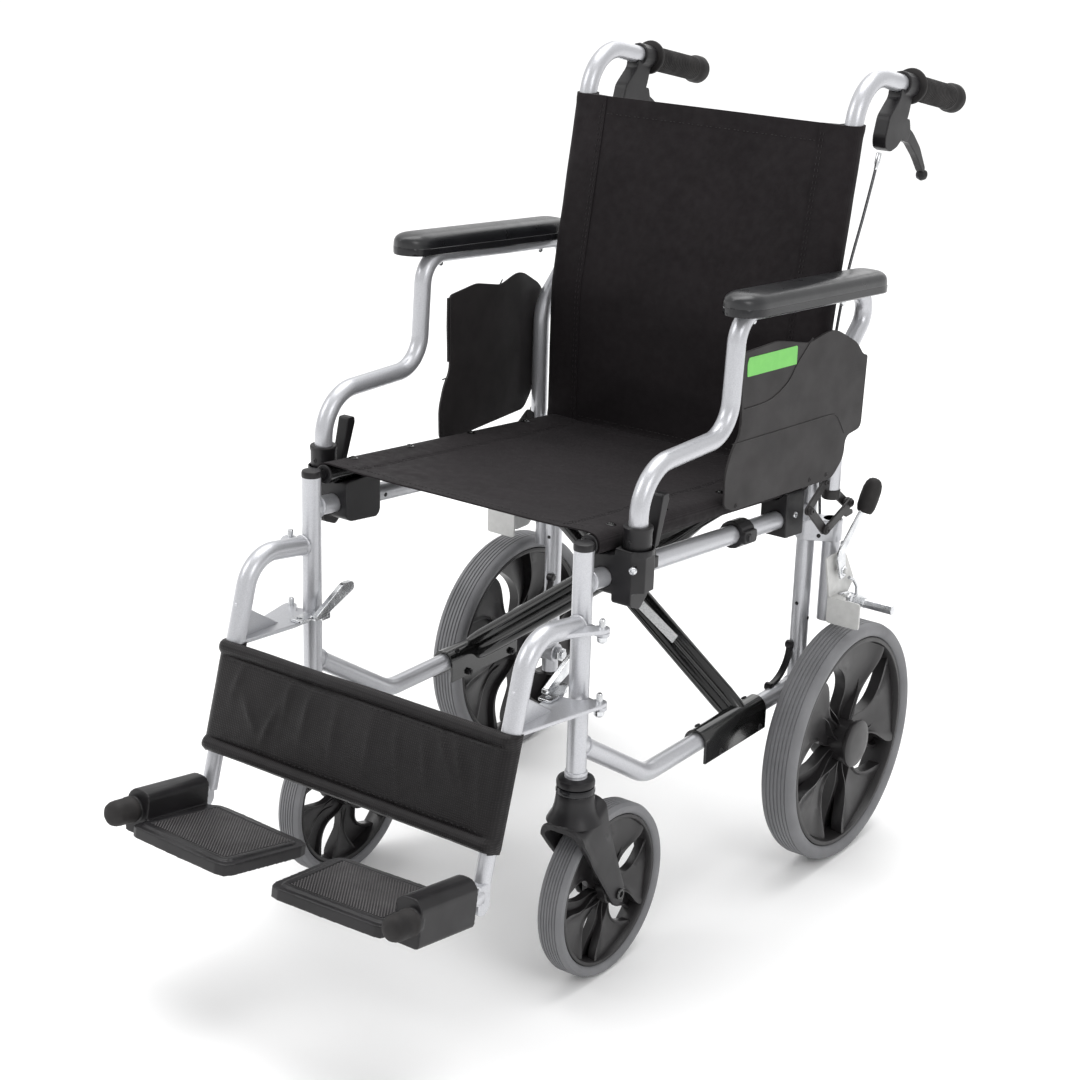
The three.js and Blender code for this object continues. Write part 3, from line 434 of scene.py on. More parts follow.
def plate(plane, outline, low, high, corner=0.0, bevel=0.5):
    """A flat outline in millimetres, given thickness along the plane's normal, with bevelled rims."""
    if corner:
        outline = rounded(outline, corner)
    area = sum(a[0] * b[1] - b[0] * a[1] for a, b in zip(outline, outline[1:] + outline[:1]))
    if area < 0:
        outline = outline[::-1]
    inner = []
    count = len(outline)
    for i in range(count):
        a, here, b = (Vector(outline[(i + k) % count][:2]) for k in (-1, 0, 1))
        n = Vector((-(b - a).y, (b - a).x))
        inner.append(here + n.normalized() * bevel if n.length > 1e-9 else here)
    axes = PLANES[plane]
    rings = []
    for level, ring in ((low, inner), (low + bevel, outline), (high - bevel, outline), (high, inner)):
        points = []
        for p in ring:
            place = [0.0, 0.0, 0.0]
            place[axes[0]], place[axes[1]], place[axes[2]] = p[0], p[1], level
            points.append(at(*place))
        rings.append(points)
    return skin(rings)


def piece(name, parts, material, body, nodes=(), angle=38, mirror=False, slot=None):
    """Makes one object from parts, lets it ride on a body and stand for CAD nodes."""
    mesh = bpy.data.meshes.new(name)
    work = bmesh.new()
    for points, faces in parts:
        made = [work.verts.new((-p.x if mirror else p.x, p.y, p.z)) for p in points]
        for face in faces:
            if len(set(face)) > 2:
                work.faces.new([made[k] for k in face])
    bmesh.ops.remove_doubles(work, verts=work.verts, dist=2e-6)
    bmesh.ops.dissolve_degenerate(work, dist=1e-6, edges=work.edges)
    bmesh.ops.recalc_face_normals(work, faces=work.faces)
    work.to_mesh(mesh)
    work.free()
    mesh.materials.append(material)
    mesh.polygons.foreach_set("use_smooth", [True] * len(mesh.polygons))
    mesh.set_sharp_from_angle(angle=math.radians(angle))
    made = bpy.data.objects.new(name, mesh)
    bpy.context.scene.collection.objects.link(made)
    if body:
        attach(made, body)
    if nodes:
        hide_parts(*nodes)
    return made


def both(name, parts, material, body, node=None, angle=38, slot=None):
    """The left piece and its mirror image. body and node are names without their side."""
    made = {}
    for side, sign in SIDES:
        nodes = [f"{node}_{side}"] if node else []
        made[side] = piece(f"{name}_{side}", parts, material, f"{body}_{side}", nodes, angle, sign < 0, slot)
    return made


def moulding(node, material, voxel=0.9, passes=5, keep=0.35):
    """A CAD node remade with softened edges, as a moulding or a pressed part has them."""
    source = NODES[node]
    made = bpy.data.objects.new(f"{node}_soft", source.data.copy())
    bpy.context.scene.collection.objects.link(made)
    remesh = made.modifiers.new("remesh", "REMESH")
    remesh.mode = "VOXEL"
    remesh.voxel_size = voxel * MM
    ease = made.modifiers.new("ease", "SMOOTH")
    ease.factor = 0.5
    ease.iterations = passes
    thin = made.modifiers.new("thin", "DECIMATE")
    thin.ratio = keep
    bpy.context.view_layer.update()
    graph = bpy.context.evaluated_depsgraph_get()
    mesh = bpy.data.meshes.new_from_object(made.evaluated_get(graph))
    made.modifiers.clear()
    made.data = mesh
    mesh.materials.clear()
    mesh.materials.append(material)
    mesh.polygons.foreach_set("use_smooth", [True] * len(mesh.polygons))
    mesh.set_sharp_from_angle(angle=math.radians(50))
    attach(made, source["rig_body"])
    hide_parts(node)
    return made


def screw(place, axis, radius=4.0, height=2.2, slot=True):
    """A pan-head screw with a recess, its head standing on place."""
    shoulder = [(0, -1.5), (radius, -1.5), (radius, height * 0.3)]
    shoulder += [(radius * 0.86, height * 0.75), (radius * 0.5, height)]
    recess = [(radius * 0.42, height * 0.96), (radius * 0.34, height * 0.3), (0, height * 0.25)]
    return lathe(shoulder + (recess if slot else [(0, height)]), place, axis, 18)


def hex_nut(place, axis, radius=6.0, height=5.0):
    """A nut with eased corners, and the end of its bolt standing out of it."""
    flat, thread = radius * 0.94, radius * 0.5
    nut = [(0, 0), (flat, 0), (radius, 0.7), (radius, height - 0.7), (flat, height), (0, height)]
    end = [(0, height - 1), (thread, height - 1), (thread, height + 1.6), (0, height + 2.2)]
    return lathe(nut, place, axis, 6) + lathe(end, place, axis, 14)


def link_bar(a, b, low, high, half=6, plane="yz", steps=10, bevel=0.5):
    """A flat bar with round ends between two pivots."""
    across = math.atan2(b[1] - a[1], b[0] - a[0])
    outline = []
    for centre, start in ((b, across - math.pi / 2), (a, across + math.pi / 2)):
        for k in range(steps + 1):
            turn = start + math.pi * k / steps
            outline.append((centre[0] + half * math.cos(turn), centre[1] + half * math.sin(turn)))
    return plate(plane, outline, low, high, bevel=bevel)


# ---------------------------------------------------------------- side frames
def weld(place, axis, radius=TUBE_R, bead=1.7):
    """The bead where one tube is welded to another: a ring of overlapping ripples."""
    turn = UP.rotation_difference(axis.normalized())
    rings = []
    for k in range(48):
        angle = 2 * math.pi * k / 48
        size = bead * (1 + 0.18 * math.sin(24 * angle))
        ring = []
        for u, v in circle(size, 8):
            r = radius + u
            ring.append(place + turn @ (Vector((r * math.cos(angle), r * math.sin(angle), v)) * MM))
        rings.append(ring)
    return skin(rings, caps=False, loop=True)


def handle_at(distance):
    axis = Vector((0, 1, -HANDLE_DROP)).normalized()
    return at(FRAME_X, *HANDLE) + axis * (distance * MM), axis


def side_frames():
    def here(y, z):
        return at(FRAME_X, y, z)

    corner_z, low_front_z = 961.6, 297
    rail = [here(FRONT_Y, rail_z(FRONT_Y)), here(REAR_Y, rail_z(REAR_Y))]
    low = [here(FRONT_Y, low_front_z), here(-187, LOWER_Z), here(REAR_Y, LOWER_Z)]
    cane = [here(REAR_Y, 126), here(REAR_Y, CANE_BEND_Z), here(cane_y(corner_z), corner_z), handle_at(118)[0]]
    outer = [at(*OUTER_POST, 300), at(*OUTER_POST, 431)]
    parts = []
    for line in ([here(FRONT_Y, 250), here(FRONT_Y, 522)], rail, route(low, [60]), route(cane, [150, 58]), outer):
        parts += tube(line, TUBE_R)
    parts += rod(at(178, REAR_Y, WHEEL["r"]), at(226, REAR_Y, WHEEL["r"]), 13, 32, 1.0)
    collar = [(11, 255), (12.4, 256), (12.9, 258), (12.2, 260), (12.9, 262), (12.4, 265), (11, 266)]
    parts += lathe(collar, here(FRONT_Y, 0), UP)
    toe = TUBE_R - 0.7
    parts += weld(here(FRONT_Y + toe, rail_z(FRONT_Y + 10)), rail[1] - rail[0])
    parts += weld(here(FRONT_Y + toe, low_front_z - 6.5), low[1] - low[0])
    parts += weld(here(REAR_Y - toe, rail_z(REAR_Y - 10)), rail[1] - rail[0])
    parts += weld(here(REAR_Y - toe, LOWER_Z), -AHEAD)
    both("frame_tubes", parts, SILVER, "frame", "frame", slot="silver_tube")

    band = 12.7
    posts = link_bar((FRAME_X, REAR_Y), OUTER_POST, 404, 431, band, "xy", 12, 0.7)
    both("post_band", posts, SILVER, "frame", slot="silver_tube")

    across = math.atan2(OUTER_POST[1] - REAR_Y, OUTER_POST[0] - FRAME_X)
    front = Vector((math.sin(across), -math.cos(across), 0))
    middle = at((OUTER_POST[0] + FRAME_X) / 2, (OUTER_POST[1] + REAR_Y) / 2, 0)
    rivets = []
    for z in (411, 424):
        rivets += screw(middle + front * (band * MM) + UP * (z * MM), front, 2.6, 1.2, slot=False)
    rivets += screw(at(FRAME_X + TUBE_R, REAR_Y, 300), OUT, 2.4, 1.0, slot=False)
    rivets += screw(here(REAR_Y - TUBE_R, 320), AHEAD, 2.4, 1.0, slot=False)
    for facing in (1, -1):
        place = at(FRAME_X + facing * TUBE_R, -205, rail_z(-205) - 1)
        rivets += screw(place, OUT * facing, 2.6, 0.8, slot=False)
    both("frame_plugs", rivets, PLASTIC, "frame")

    lugs, pins = [], []
    pin = [(0, -7), (4.2, -7), (5.6, -5.5), (5.6, -0.5), (3.6, 0), (3.6, 17), (2.4, 19), (0, 19)]
    lug = [(FRAME_X, FRONT_Y - 9), (225, -333), (228, -327), (225, -321), (FRAME_X, FRONT_Y + 9)]
    for z in (430, 346):
        lugs += plate("xy", lug, z, z + 5, 5, 0.8)
        pins += lathe(pin, at(219, -327, z), UP, 20)
    both("hanger_lugs", lugs, SILVER, "frame", slot="silver_tube")
    axle = rod(at(166, REAR_Y, WHEEL["r"]), at(272, REAR_Y, WHEEL["r"]), 6)
    axle += hex_nut(at(176, REAR_Y, WHEEL["r"]), -OUT, 10, 7)
    both("frame_steel", pins + axle, STEEL, "frame", slot="bright_steel")

    cap = [(0, 518), (11.3, 518), (11.5, 519), (11.5, 523), (10.6, 525.2), (8, 526), (0, 526)]
    race = [
        (0, 248.9), (20.2, 248.9), (21.2, 249.8), (21.2, 254), (20, 256.6), (16.5, 258.2), (11.4, 258.8), (0, 258.8),
    ]
    caps = lathe(cap, here(FRONT_Y, 0), UP) + lathe(race, here(FRONT_Y, 0), UP)
    caps += rod(here(REAR_Y, 121.5), here(REAR_Y, 128), 11.0)
    both("frame_caps", caps, PLASTIC, "frame")

    strap = []
    for degrees in range(0, 91, 9):
        a = math.radians(degrees)
        strap.append(at(184, 146.5 - 46 * (1 - math.sin(a)), 264 - 42 * math.cos(a)))
    strip = sweep(strap, rounded([(-4, -2.6), (4, -2.6), (4, 2.6), (-4, 2.6)], 1.6, 3))
    for end in (strap[0], strap[-1]):
        strip += rod(end - OUT * (5 * MM), end + OUT * (5.5 * MM), 5.2, 20, 1.2)
    both("post_gusset", strip, PLASTIC, "frame")


side_frames()


# ---------------------------------------------------------------- plastic blocks and small hardware
def hardware():
    for name, material, voxel, passes in (
        ("front_block", PLASTIC, 0.9, 5),
        ("rail_collar", PLASTIC, 0.7, 5),
        ("rear_saddle", PLASTIC, 0.9, 5),
        ("armrest_release", PLASTIC, 0.6, 5),
        ("lever_bracket", PLASTIC, 0.8, 5),
        ("brake_lever", PLASTIC, 0.6, 5),
        ("hanger_latch", STEEL, 0.5, 3),
        ("brake_base", PALE, 0.6, 3),
        ("parking_lever", STEEL, 0.6, 3),
        ("brake_shoe", STEEL, 0.5, 3),
        ("footplate", PLASTIC, 1.0, 5),
    ):
        for side, _ in SIDES:
            moulding(f"{name}_{side}", material, voxel, passes)

    knob = [
        (0, -0.3), (8, -0.3), (9.6, 1.5), (11.3, 7), (11.9, 18),
        (11.6, 30), (10.2, 37), (7.5, 41.6), (4, 43.6), (0, 44.2),
    ]
    both("parking_knob", lathe(knob, at(249.5, 190, 441), Vector((0.12, 0.33, 0.94))), GRIP, "parking_lever")
    bolts = hex_nut(at(244.6, 150, 376), OUT, 6.5, 6) + hex_nut(at(249.6, 162, 338), OUT, 6.5, 5)
    bolts += screw(at(238, 166, 404), AHEAD, 4.5, 3)
    both("brake_bolts", bolts, STEEL, "frame")


def armrest_linkage():
    """The diamond of four bars, outside the outer post, on which the armrest turns: two stay with the frame."""
    left, bottom, right, top = (97, 461), (133, 428.5), ARM_HINGE, (136, 487)
    hook = [
        (182, 453, 4), (196, 455, 4), (199, 446, 4), (197, 438, 3),
        (206, 436, 2), (207, 430, 2), (190, 429, 3), (184, 436, 4),
    ]
    lower = link_bar(left, bottom, 224.4, 227.4) + link_bar(bottom, right, 228, 231)
    lower += plate("yz", rounded(hook, 0, 4), 223, 226)
    lower += screw(at(227.4, *left), OUT, 4.6, 2.6) + screw(at(231, *bottom), OUT, 4.6, 2.6)
    both("hinge_lower_bars", lower, LINKS, "frame", "armrest_hinge")
    plug = [(0, 461.6), (10.4, 461.6), (11.2, 462.6), (11.2, 473.4), (0, 473.4)]
    upper = link_bar(left, top, 220.8, 223.8) + link_bar(top, right, 219.6, 222.6)
    upper += screw(at(223.8, *top), OUT, 4, 2) + screw(at(231, *right), OUT, 5, 3)
    upper += lathe(plug, at(OUTER_X, 157, 0), UP, 32)
    both("hinge_upper_bars", upper, LINKS, "armrest", "armrest_link")


def block_screws():
    fixings = screw(at(229, -289.6, 494), AHEAD, 4.4, 2.2)
    for y, z in ((-236, 465), (99, 451)):
        fixings += screw(at(FRAME_X + 15, y, z), OUT, 4, 2)
    both("block_screws", fixings, STEEL, "frame")


hardware()
armrest_linkage()
block_screws()


# ---------------------------------------------------------------- scissor brace
def brace_arm(y):
    """An arm of two barrels side by side, from its sleeve at +X to the seat tube at -X."""
    foot = Vector((FRAME_X, LOWER_Z))
    top = Vector((-SEAT_X, seat_z(0)))
    length = (top - foot).length
    along = (top - foot).normalized()
    across = Vector((-along.y, along.x))
    widths = (
        (2, 15), (14, 17), (30, 18), (length - 120, 18), (length - 104, 17.3), (length - 50, 8.6), (length - 4, 7.4)
    )
    rings = []
    for d, half in widths:
        middle = foot + along * d
        barrel = half / 2
        deep = min(9.9, barrel * 1.1 + 1)
        ring = []
        for centre, start, valley in ((barrel, -125, 4.5), (-barrel, 55, -4.5)):
            for k in range(11):
                turn = math.radians(start + 25 * k)
                p = middle + across * (centre + barrel * math.cos(turn))
                ring.append(at(p.x, y + deep * math.sin(turn), p.y))
            ring.append(at(middle.x, y + valley, middle.y))
        rings.append(ring)
    return skin(rings)


def brace_sleeve():
    """The folded plate that wraps the lower rail: round over the top, with both sides hanging below the rail."""
    inner, foot = BRACE_SLEEVE_R - 3.2, LOWER_Z - 24

    def arch(r, degrees):
        return [(LOWER_Z + r * math.sin(math.radians(a)), FRAME_X + r * math.cos(math.radians(a))) for a in degrees]

    outline = arch(BRACE_SLEEVE_R, range(0, 181, 9)) + [(foot, FRAME_X - BRACE_SLEEVE_R), (foot, FRAME_X - inner)]
    outline += arch(inner, range(180, -1, -9)) + [(foot, FRAME_X + inner), (foot, FRAME_X + BRACE_SLEEVE_R)]
    return plate("zx", outline, -78, 60)


def braces():
    front, rear = -306, 113
    slope = Vector((0, -1, SEAT_SLOPE)).normalized()
    plug = [
        (0, -3), (10.9, -3), (11.1, 0), (11.1, 1.2), (10.2, 2.2), (7.4, 2.4), (7, 1.2), (5, 1), (4.6, 2.6), (0, 3)
    ]
    for name, y, mirror in (("brace_rear", 20, False), ("brace_front", -20, True)):
        ends = [at(-SEAT_X, end, seat_z(end)) for end in (front, rear)]
        arm = brace_arm(y) + brace_sleeve() + tube(ends, TUBE_R)
        piece(f"{name}_arm", arm, GLOSS, name, [name], mirror=mirror, slot="black_paint")
        plugs = lathe(plug, ends[0], slope)
        plugs += lathe([(0, -1), (11, -1), (11, 1), (0, 1.4)], ends[1], -slope)
        piece(f"{name}_plugs", plugs, PLASTIC, name, mirror=mirror)
        heads = []
        for along in (-44, 46):
            heads += screw(at(FRAME_X + BRACE_SLEEVE_R, along, LOWER_Z - 19), OUT, 4.2, 2.2)
            heads += hex_nut(at(FRAME_X - BRACE_SLEEVE_R, along, LOWER_Z - 19), -OUT, 5, 4)
        for along in (-60, 46):
            heads += screw(at(FRAME_X - 9, along, LOWER_Z + 12.8), Vector((-0.57, 0, 0.82)), 3.6, 1.8)
        piece(f"{name}_screws", heads, PLASTIC, name, mirror=mirror)

    centre_z = lerp(LOWER_Z, seat_z(0), FRAME_X / (FRAME_X + SEAT_X))
    centre, reach = at(0, 0, centre_z), 31.2
    bolt = rod(at(0, -36, centre_z), at(0, 36, centre_z), 5)
    for h in (-reach, reach - 1):
        bolt += lathe([(0, h), (9, h), (9, h + 1), (0, h + 1)], centre, -AHEAD)
    for facing in (-1, 1):
        bolt += hex_nut(at(0, facing * reach, centre_z), -AHEAD * facing, 8, 6)
    piece("brace_pivot_bolt", bolt, STEEL, "brace_rear", ["brace_bolt"], slot="bright_steel")

    a, b = Vector((44.4, 319.6)), Vector((97.4, 285.9))
    along = (b - a).normalized()
    across = Vector((-along.y, along.x)) * 6.5
    corners = [a + across * 1.9, b + across * 1.9, b - across * 0.1, a - across * 0.1]
    piece("brace_label", plate("zx", [(p.y, p.x) for p in corners], 9.0, 10.3, 1, 0.1), LABEL, "brace_rear")


braces()


# ---------------------------------------------------------------- footrests
def foot_at(x, y, z):
    """A place on the footplate, which is tilted about its pin."""
    return at(*FOOT) + Matrix.Rotation(-FOOT_TILT, 3, "X") @ (Vector((x, y, z)) * MM)


def tread_ribs(quad, sign):
    """The ribs moulded across a footplate; sign turns their slant the same way on both plates."""
    slant = Vector((-math.cos(RIB_ANGLE) * sign, math.sin(RIB_ANGLE)))
    normal = Vector((-slant.y, slant.x))
    reach = sorted(Vector(p).dot(normal) for p in quad)
    section = ((-0.9, -6.9), (-0.55, -5.5), (0.55, -5.5), (0.9, -6.9))
    ribs = []
    for k in range(1, int((reach[3] - reach[0]) / RIB_PITCH) + 1):
        offset = reach[0] + RIB_PITCH * k
        hits = []
        for a, b in zip(quad, quad[1:] + quad[:1]):
            da, db = Vector(a).dot(normal) - offset, Vector(b).dot(normal) - offset
            if da * db < 0:
                hits.append(Vector(a).lerp(Vector(b), da / (da - db)))
        if len(hits) == 2 and (hits[1] - hits[0]).length > 6:
            run = (hits[1] - hits[0]).normalized()
            ends = hits[0] + run * 1.5, hits[1] - run * 1.5
            ribs += skin([[foot_at(*(p + normal * u), z) for u, z in section] for p in ends])
    return ribs


def footrests():
    corners = [at(HANGER_X, -335.3, 437), at(HANGER_X, -419, 449), at(HANGER_X, -493, 194)]
    leg = (corners[2] - corners[1]).normalized()
    joint = corners[1] + leg * (197 * MM)
    upper = [p for p in route(corners, [42]) if (p - corners[2]).length > (joint - corners[2]).length]
    r = TUBE_R
    parts = tube(upper + [joint], r)
    parts += lathe([(r - 2, -9), (r + 0.7, -9), (r + 0.9, -8), (r + 0.9, 1), (r + 0.3, 2), (9, 3)], joint, leg)
    parts += tube([joint, corners[2] - leg * (5 * MM), corners[2] + leg * (4 * MM)], 9.2)
    eye = [(210, -328, 5), (217, -319, 6), (227, -322, 6), (228, -332, 6)]
    for z, outline in (
        (435.4, [(201, -372), (184, -372), (184, -344), (202, -338.5)]),
        (351.4, [(202, -452), (184, -452), (173, -372), (173, -344), (202, -338.5)]),
    ):
        parts += plate("xy", rounded(eye + outline, 4), z, z + 4.6, 0, 0.7)
    parts += plate("yz", [(-446, 400), (-446, 354), (-376, 354)], HANGER_X - 2, HANGER_X + 2, 3, 0.6)
    parts += weld(corners[0], -AHEAD)
    tab = [(-508, 204), (-508, 171), (-497, 168), (-489, 176), (-487, 204)]
    parts += plate("yz", tab, HANGER_X - 3, HANGER_X + 9, 4, 0.8)
    forward = foot_at(0, -1, 0) - foot_at(0, 0, 0)
    eyelet = [(5.6, -7), (9.8, -7), (10.4, -6), (10.4, 6), (9.8, 7), (5.6, 7), (5.6, -7)]
    parts += lathe(eyelet, foot_at(0, 0, 0), forward)
    both("hanger_tube", parts, SILVER, "hanger", "hanger", slot="silver_tube")

    knob = [
        (5.2, -1), (14.4, -1), (14.8, 0), (14.8, 4), (14.2, 5), (14.2, 19),
        (13.8, 24), (12.4, 28), (9.6, 30.6), (5, 31.7), (0, 31.8),
    ]
    bumper = lathe(knob, foot_at(0, -104.3, 0), forward, 40) + rod(foot_at(0, 12, 0), foot_at(0, -106, 0), 5)
    both("footplate_bumper_rubber", bumper, GRIP, "footplate_pin", "footplate_bumper", slot="black_rubber")

    quad = [(-32.6, -106.6), (-149.6, -114.2), (-159.2, -18.8), (-38.4, -10.8)]
    floor = [[foot_at(x, y, level) for x, y in quad] for level in (-7.4, -6.6)]
    both("footplate_floor", skin(floor), PLASTIC, "footplate")
    for side, sign in SIDES:
        # The ribs wear the lighter material, whose grey is painted highlight
        piece(f"footplate_ribs_{side}", tread_ribs(quad, sign), RIB_PAINTED_HIGHLIGHT, f"footplate_{side}", mirror=sign < 0)


footrests()


# ---------------------------------------------------------------- armrests
PANEL_OUTLINE = [
    (-52, 679.6, 8), (25, 679, 12), (97, 662.4, 10), (155, 669.4, 22), (214.7, 640.5, 16), (231.4, 623.6, 4),
    (243, 619.5, 3), (239.3, 530.4, 10), (201.9, 527.4, 14), (201.3, 501.7, 12), (174.3, 480.9, 10),
    (-57.3, 496.2, 5), (-76, 505.3, 6), (-78, 542.7, 10), (-65.3, 570, 10), (-50, 583.9, 10), (-49.5, 607.1, 8),
]


def leaned(parts, rate=0.1177, start=-52):
    """Parts of the side panel leaned out to the rear, from inside the front tube to outside the rear one.

    Each point moves along the camera's line of sight, so the panel keeps its outline in the picture."""
    sight = Vector((1, -1.830, 0.585))
    made = []
    for points, faces in parts:
        share = rate / (1 - rate * sight.y)
        made.append(([p + sight * (share * (p.y - at(0, start, 0).y)) for p in points], faces))
    return made


def ridge(points, x=208.9, radius=0.9):
    """A raised line moulded on the outer face of the side panel."""
    line = []
    ends = [points[0]] + points + [points[-1]]
    for i in range(1, len(ends) - 2):
        a, b, c, d = (Vector(q) for q in ends[i - 1 : i + 3])
        for k in range(6):
            t = k / 6
            bend = (2 * a - 5 * b + 4 * c - d) * t * t + (3 * b - 3 * c + d - a) * t ** 3
            m = 0.5 * (2 * b + (c - a) * t + bend)
            line.append(at(x, m.x, m.y))
    line.append(at(x, *points[-1]))
    return sweep(line, circle(radius, 8))


def armrests():
    x = OUTER_X
    path = (-268, 516), (-268, 596), (-95, 598), (-86, 732), (240, 709), (157, 630), (157, 474)
    tubes = tube(route([at(x, *p) for p in path], [52, 42, 34, 27, 60], 4), TUBE_R - 0.6, 32)
    both("armrest_tube_bent", tubes, SILVER, "armrest", "armrest_tube", slot="silver_tube")

    sleeve = [
        (10.7, 507.8), (14.6, 507.8), (15.2, 509), (15.2, 530), (16, 533),
        (16.1, 536), (15.2, 537.2), (12.5, 537.6), (10.7, 537), (10.7, 507.8),
    ]
    cuff = lathe(sleeve, at(x, -268, 0), UP, 36) + screw(at(x, -283, 521), AHEAD, 2.6, 1)
    both("armrest_cuff", cuff, PLASTIC, "armrest", "armrest_sleeve")

    panel = plate("yz", rounded(PANEL_OUTLINE, 0, 6), 206.2, 208.9)
    panel += ridge([(104, 667), (72, 644), (54, 627), (28, 616), (2, 612), (-48, 613.5)])
    panel += ridge([(-66, 577), (98, 567), (160, 563), (176, 558), (186, 547), (197, 533)])
    lip = [(-52, 676), (-52.2, 640), (-50, 609), (-49.6, 596)]
    panel += sweep([at(209.4, *p) for p in lip], [(-1.2, -1.6), (1.2, -1.6), (1.2, 1.6), (-1.2, 1.6)])
    for y, z in ((160, 489), (120, 492), (-50, 501)):
        panel += screw(at(208.9, y, z), OUT, 2.8, 1.0)
    both("side_panel_moulded", leaned(panel), PANEL, "armrest", "side_panel", slot="black_plastic")

    green = [(-42, 650), (-43, 665, 1), (-40, 672, 2), (69, 665, 3), (69, 643, 1)]
    both("panel_sticker", leaned(plate("yz", green, 208.8, 209.25, 2, 0.1)), GREEN, "armrest")


def arm_pads():
    x, front, rear, width, base = 230.5, -119, 209, 25, -3.8
    edge = [(-1, -4.2), (-1, -11.5), (-0.94, -13), (0.94, -13), (1, -11.5), (1, -4.2), (0.96, -3.4), (-0.96, -3.4)]
    tray, cushion = [], []
    for k in range(41):
        y = lerp(front, rear, 0.5 - 0.5 * math.cos(math.pi * k / 40))
        z = 741.5 - 0.0705 * (y + 20)
        nose = 1 - min(1, (y - front) / 34)
        tail = 1 - min(1, (rear - y) / 26)
        plan = max(0.12, (1 - nose ** 2.3) ** 0.5 * (1 - tail ** 2.5) ** 0.5)
        w = width * plan
        tray.append([at(x + u * w, y, z + v) for u, v in edge])
        tall = 13.2 * (0.35 + 0.65 * plan ** 1.3) - base
        ring = []
        for j in range(19):
            turn = math.pi * j / 18
            u = math.copysign(abs(math.cos(turn)) ** 0.62, math.cos(turn))
            ring.append(at(x + u * w * 0.975, y, z + base + math.sin(turn) ** 0.72 * tall))
        cushion.append(ring)
    both("arm_pad_tray", skin(tray), BAND, "armrest", "arm_pad", angle=30)
    pads = both("arm_pad_cushion", skin(cushion), SKIN, "armrest", "arm_pad", angle=60, slot="black_vinyl")
    under = []
    for y, z in ((-55, 719), (150, 704.5)):
        under += screw(at(OUTER_X, y, z), -UP, 3.6, 4, slot=False)
    both("arm_pad_bolts", under, STEEL, "armrest")


armrests()
arm_pads()


# ---------------------------------------------------------------- push handles
def spline(points, steps=8):
    """A centripetal curve through points."""
    ends = [points[0] * 2 - points[1]] + points + [points[-1] * 2 - points[-2]]
    line = []
    for i in range(1, len(ends) - 2):
        near = ends[i - 1 : i + 3]
        knots = [0.0]
        for a, b in zip(near, near[1:]):
            knots.append(knots[-1] + (b - a).length ** 0.5)
        for k in range(steps):
            t = lerp(knots[1], knots[2], k / steps)
            row = near
            for spans in (((0, 1), (1, 2), (2, 3)), ((0, 2), (1, 3)), ((1, 2),)):
                shares = [(t - knots[m]) / (knots[n] - knots[m]) for m, n in spans]
                row = [lerp(a, b, share) for a, b, share in zip(row, row[1:], shares)]
            line += row
    return line + [points[-1]]


def handles():
    bore = TUBE_R + 0.4
    grip = [(bore, 0), (20, 0), (21.5, 1), (22, 3), (21.6, 5), (17.6, 9), (16, 12)]
    for k in range(23):
        d = 16 + 4 * k
        grip += [(15.7, d - 1.3), (15.1, d - 0.9), (15.1, d + 0.9), (15.7, d + 1.3)]
    grip += [
        (15.8, 110), (17.4, 113), (18.2, 116), (18.2, 126), (17, 129), (14, 130),
        (5, 130), (4.4, 128.6), (0, 128.6), (0, 121.5), (bore, 121.5), (bore, 0),
    ]
    both("push_grip_rubber", lathe(grip, *handle_at(0), 48), GRIP, "frame", "push_grip", slot="black_rubber")
    cable = (
        (0, 272, 860.5), (1, 262, 838), (3, 238, 790), (4, 209, 730), (4, 192, 670), (3, 182, 600),
        (2, 179, 520), (1, 184, 450), (6, 190, 400), (22, 202, 368), (43, 196, 352), (46, 192, 348),
    )
    line = spline([at(FRAME_X + x, y, z) for x, y, z in cable])
    both("brake_cable_outer", tube(line, 1.9, 12), CABLE, "frame", "brake_cable")
    ferrule = [(0, -1), (3.1, -1), (3.4, 0), (3.4, 12), (2.6, 14), (2.2, 20), (0, 20)]
    both("cable_ferrules", lathe(ferrule, line[0], line[4] - line[0], 18), STEEL, "frame")


handles()


# ---------------------------------------------------------------- wheels
def tyre(centre, radius, seat, width):
    half, grooves = width / 2, 6
    side = [(seat + 0.2, 0.66), (seat + 1.5, 0.84)]
    side += [(lerp(seat, radius, share), h) for share, h in ((0.3, 0.96), (0.55, 1), (0.78, 0.95))]
    side += [(radius - 1.6, 0.82), (radius - 0.7, 0.7)]
    profile = [(r, -half * h) for r, h in side]
    for k in range(grooves):
        h = lerp(-0.56, 0.56, k / (grooves - 1)) * half
        profile += [(radius, h - 0.9), (radius - 1.1, h - 0.45), (radius - 1.1, h + 0.45), (radius, h + 0.9)]
    profile += [(r, half * h) for r, h in reversed(side)]
    return lathe(profile + profile[:1], centre, OUT, 120)


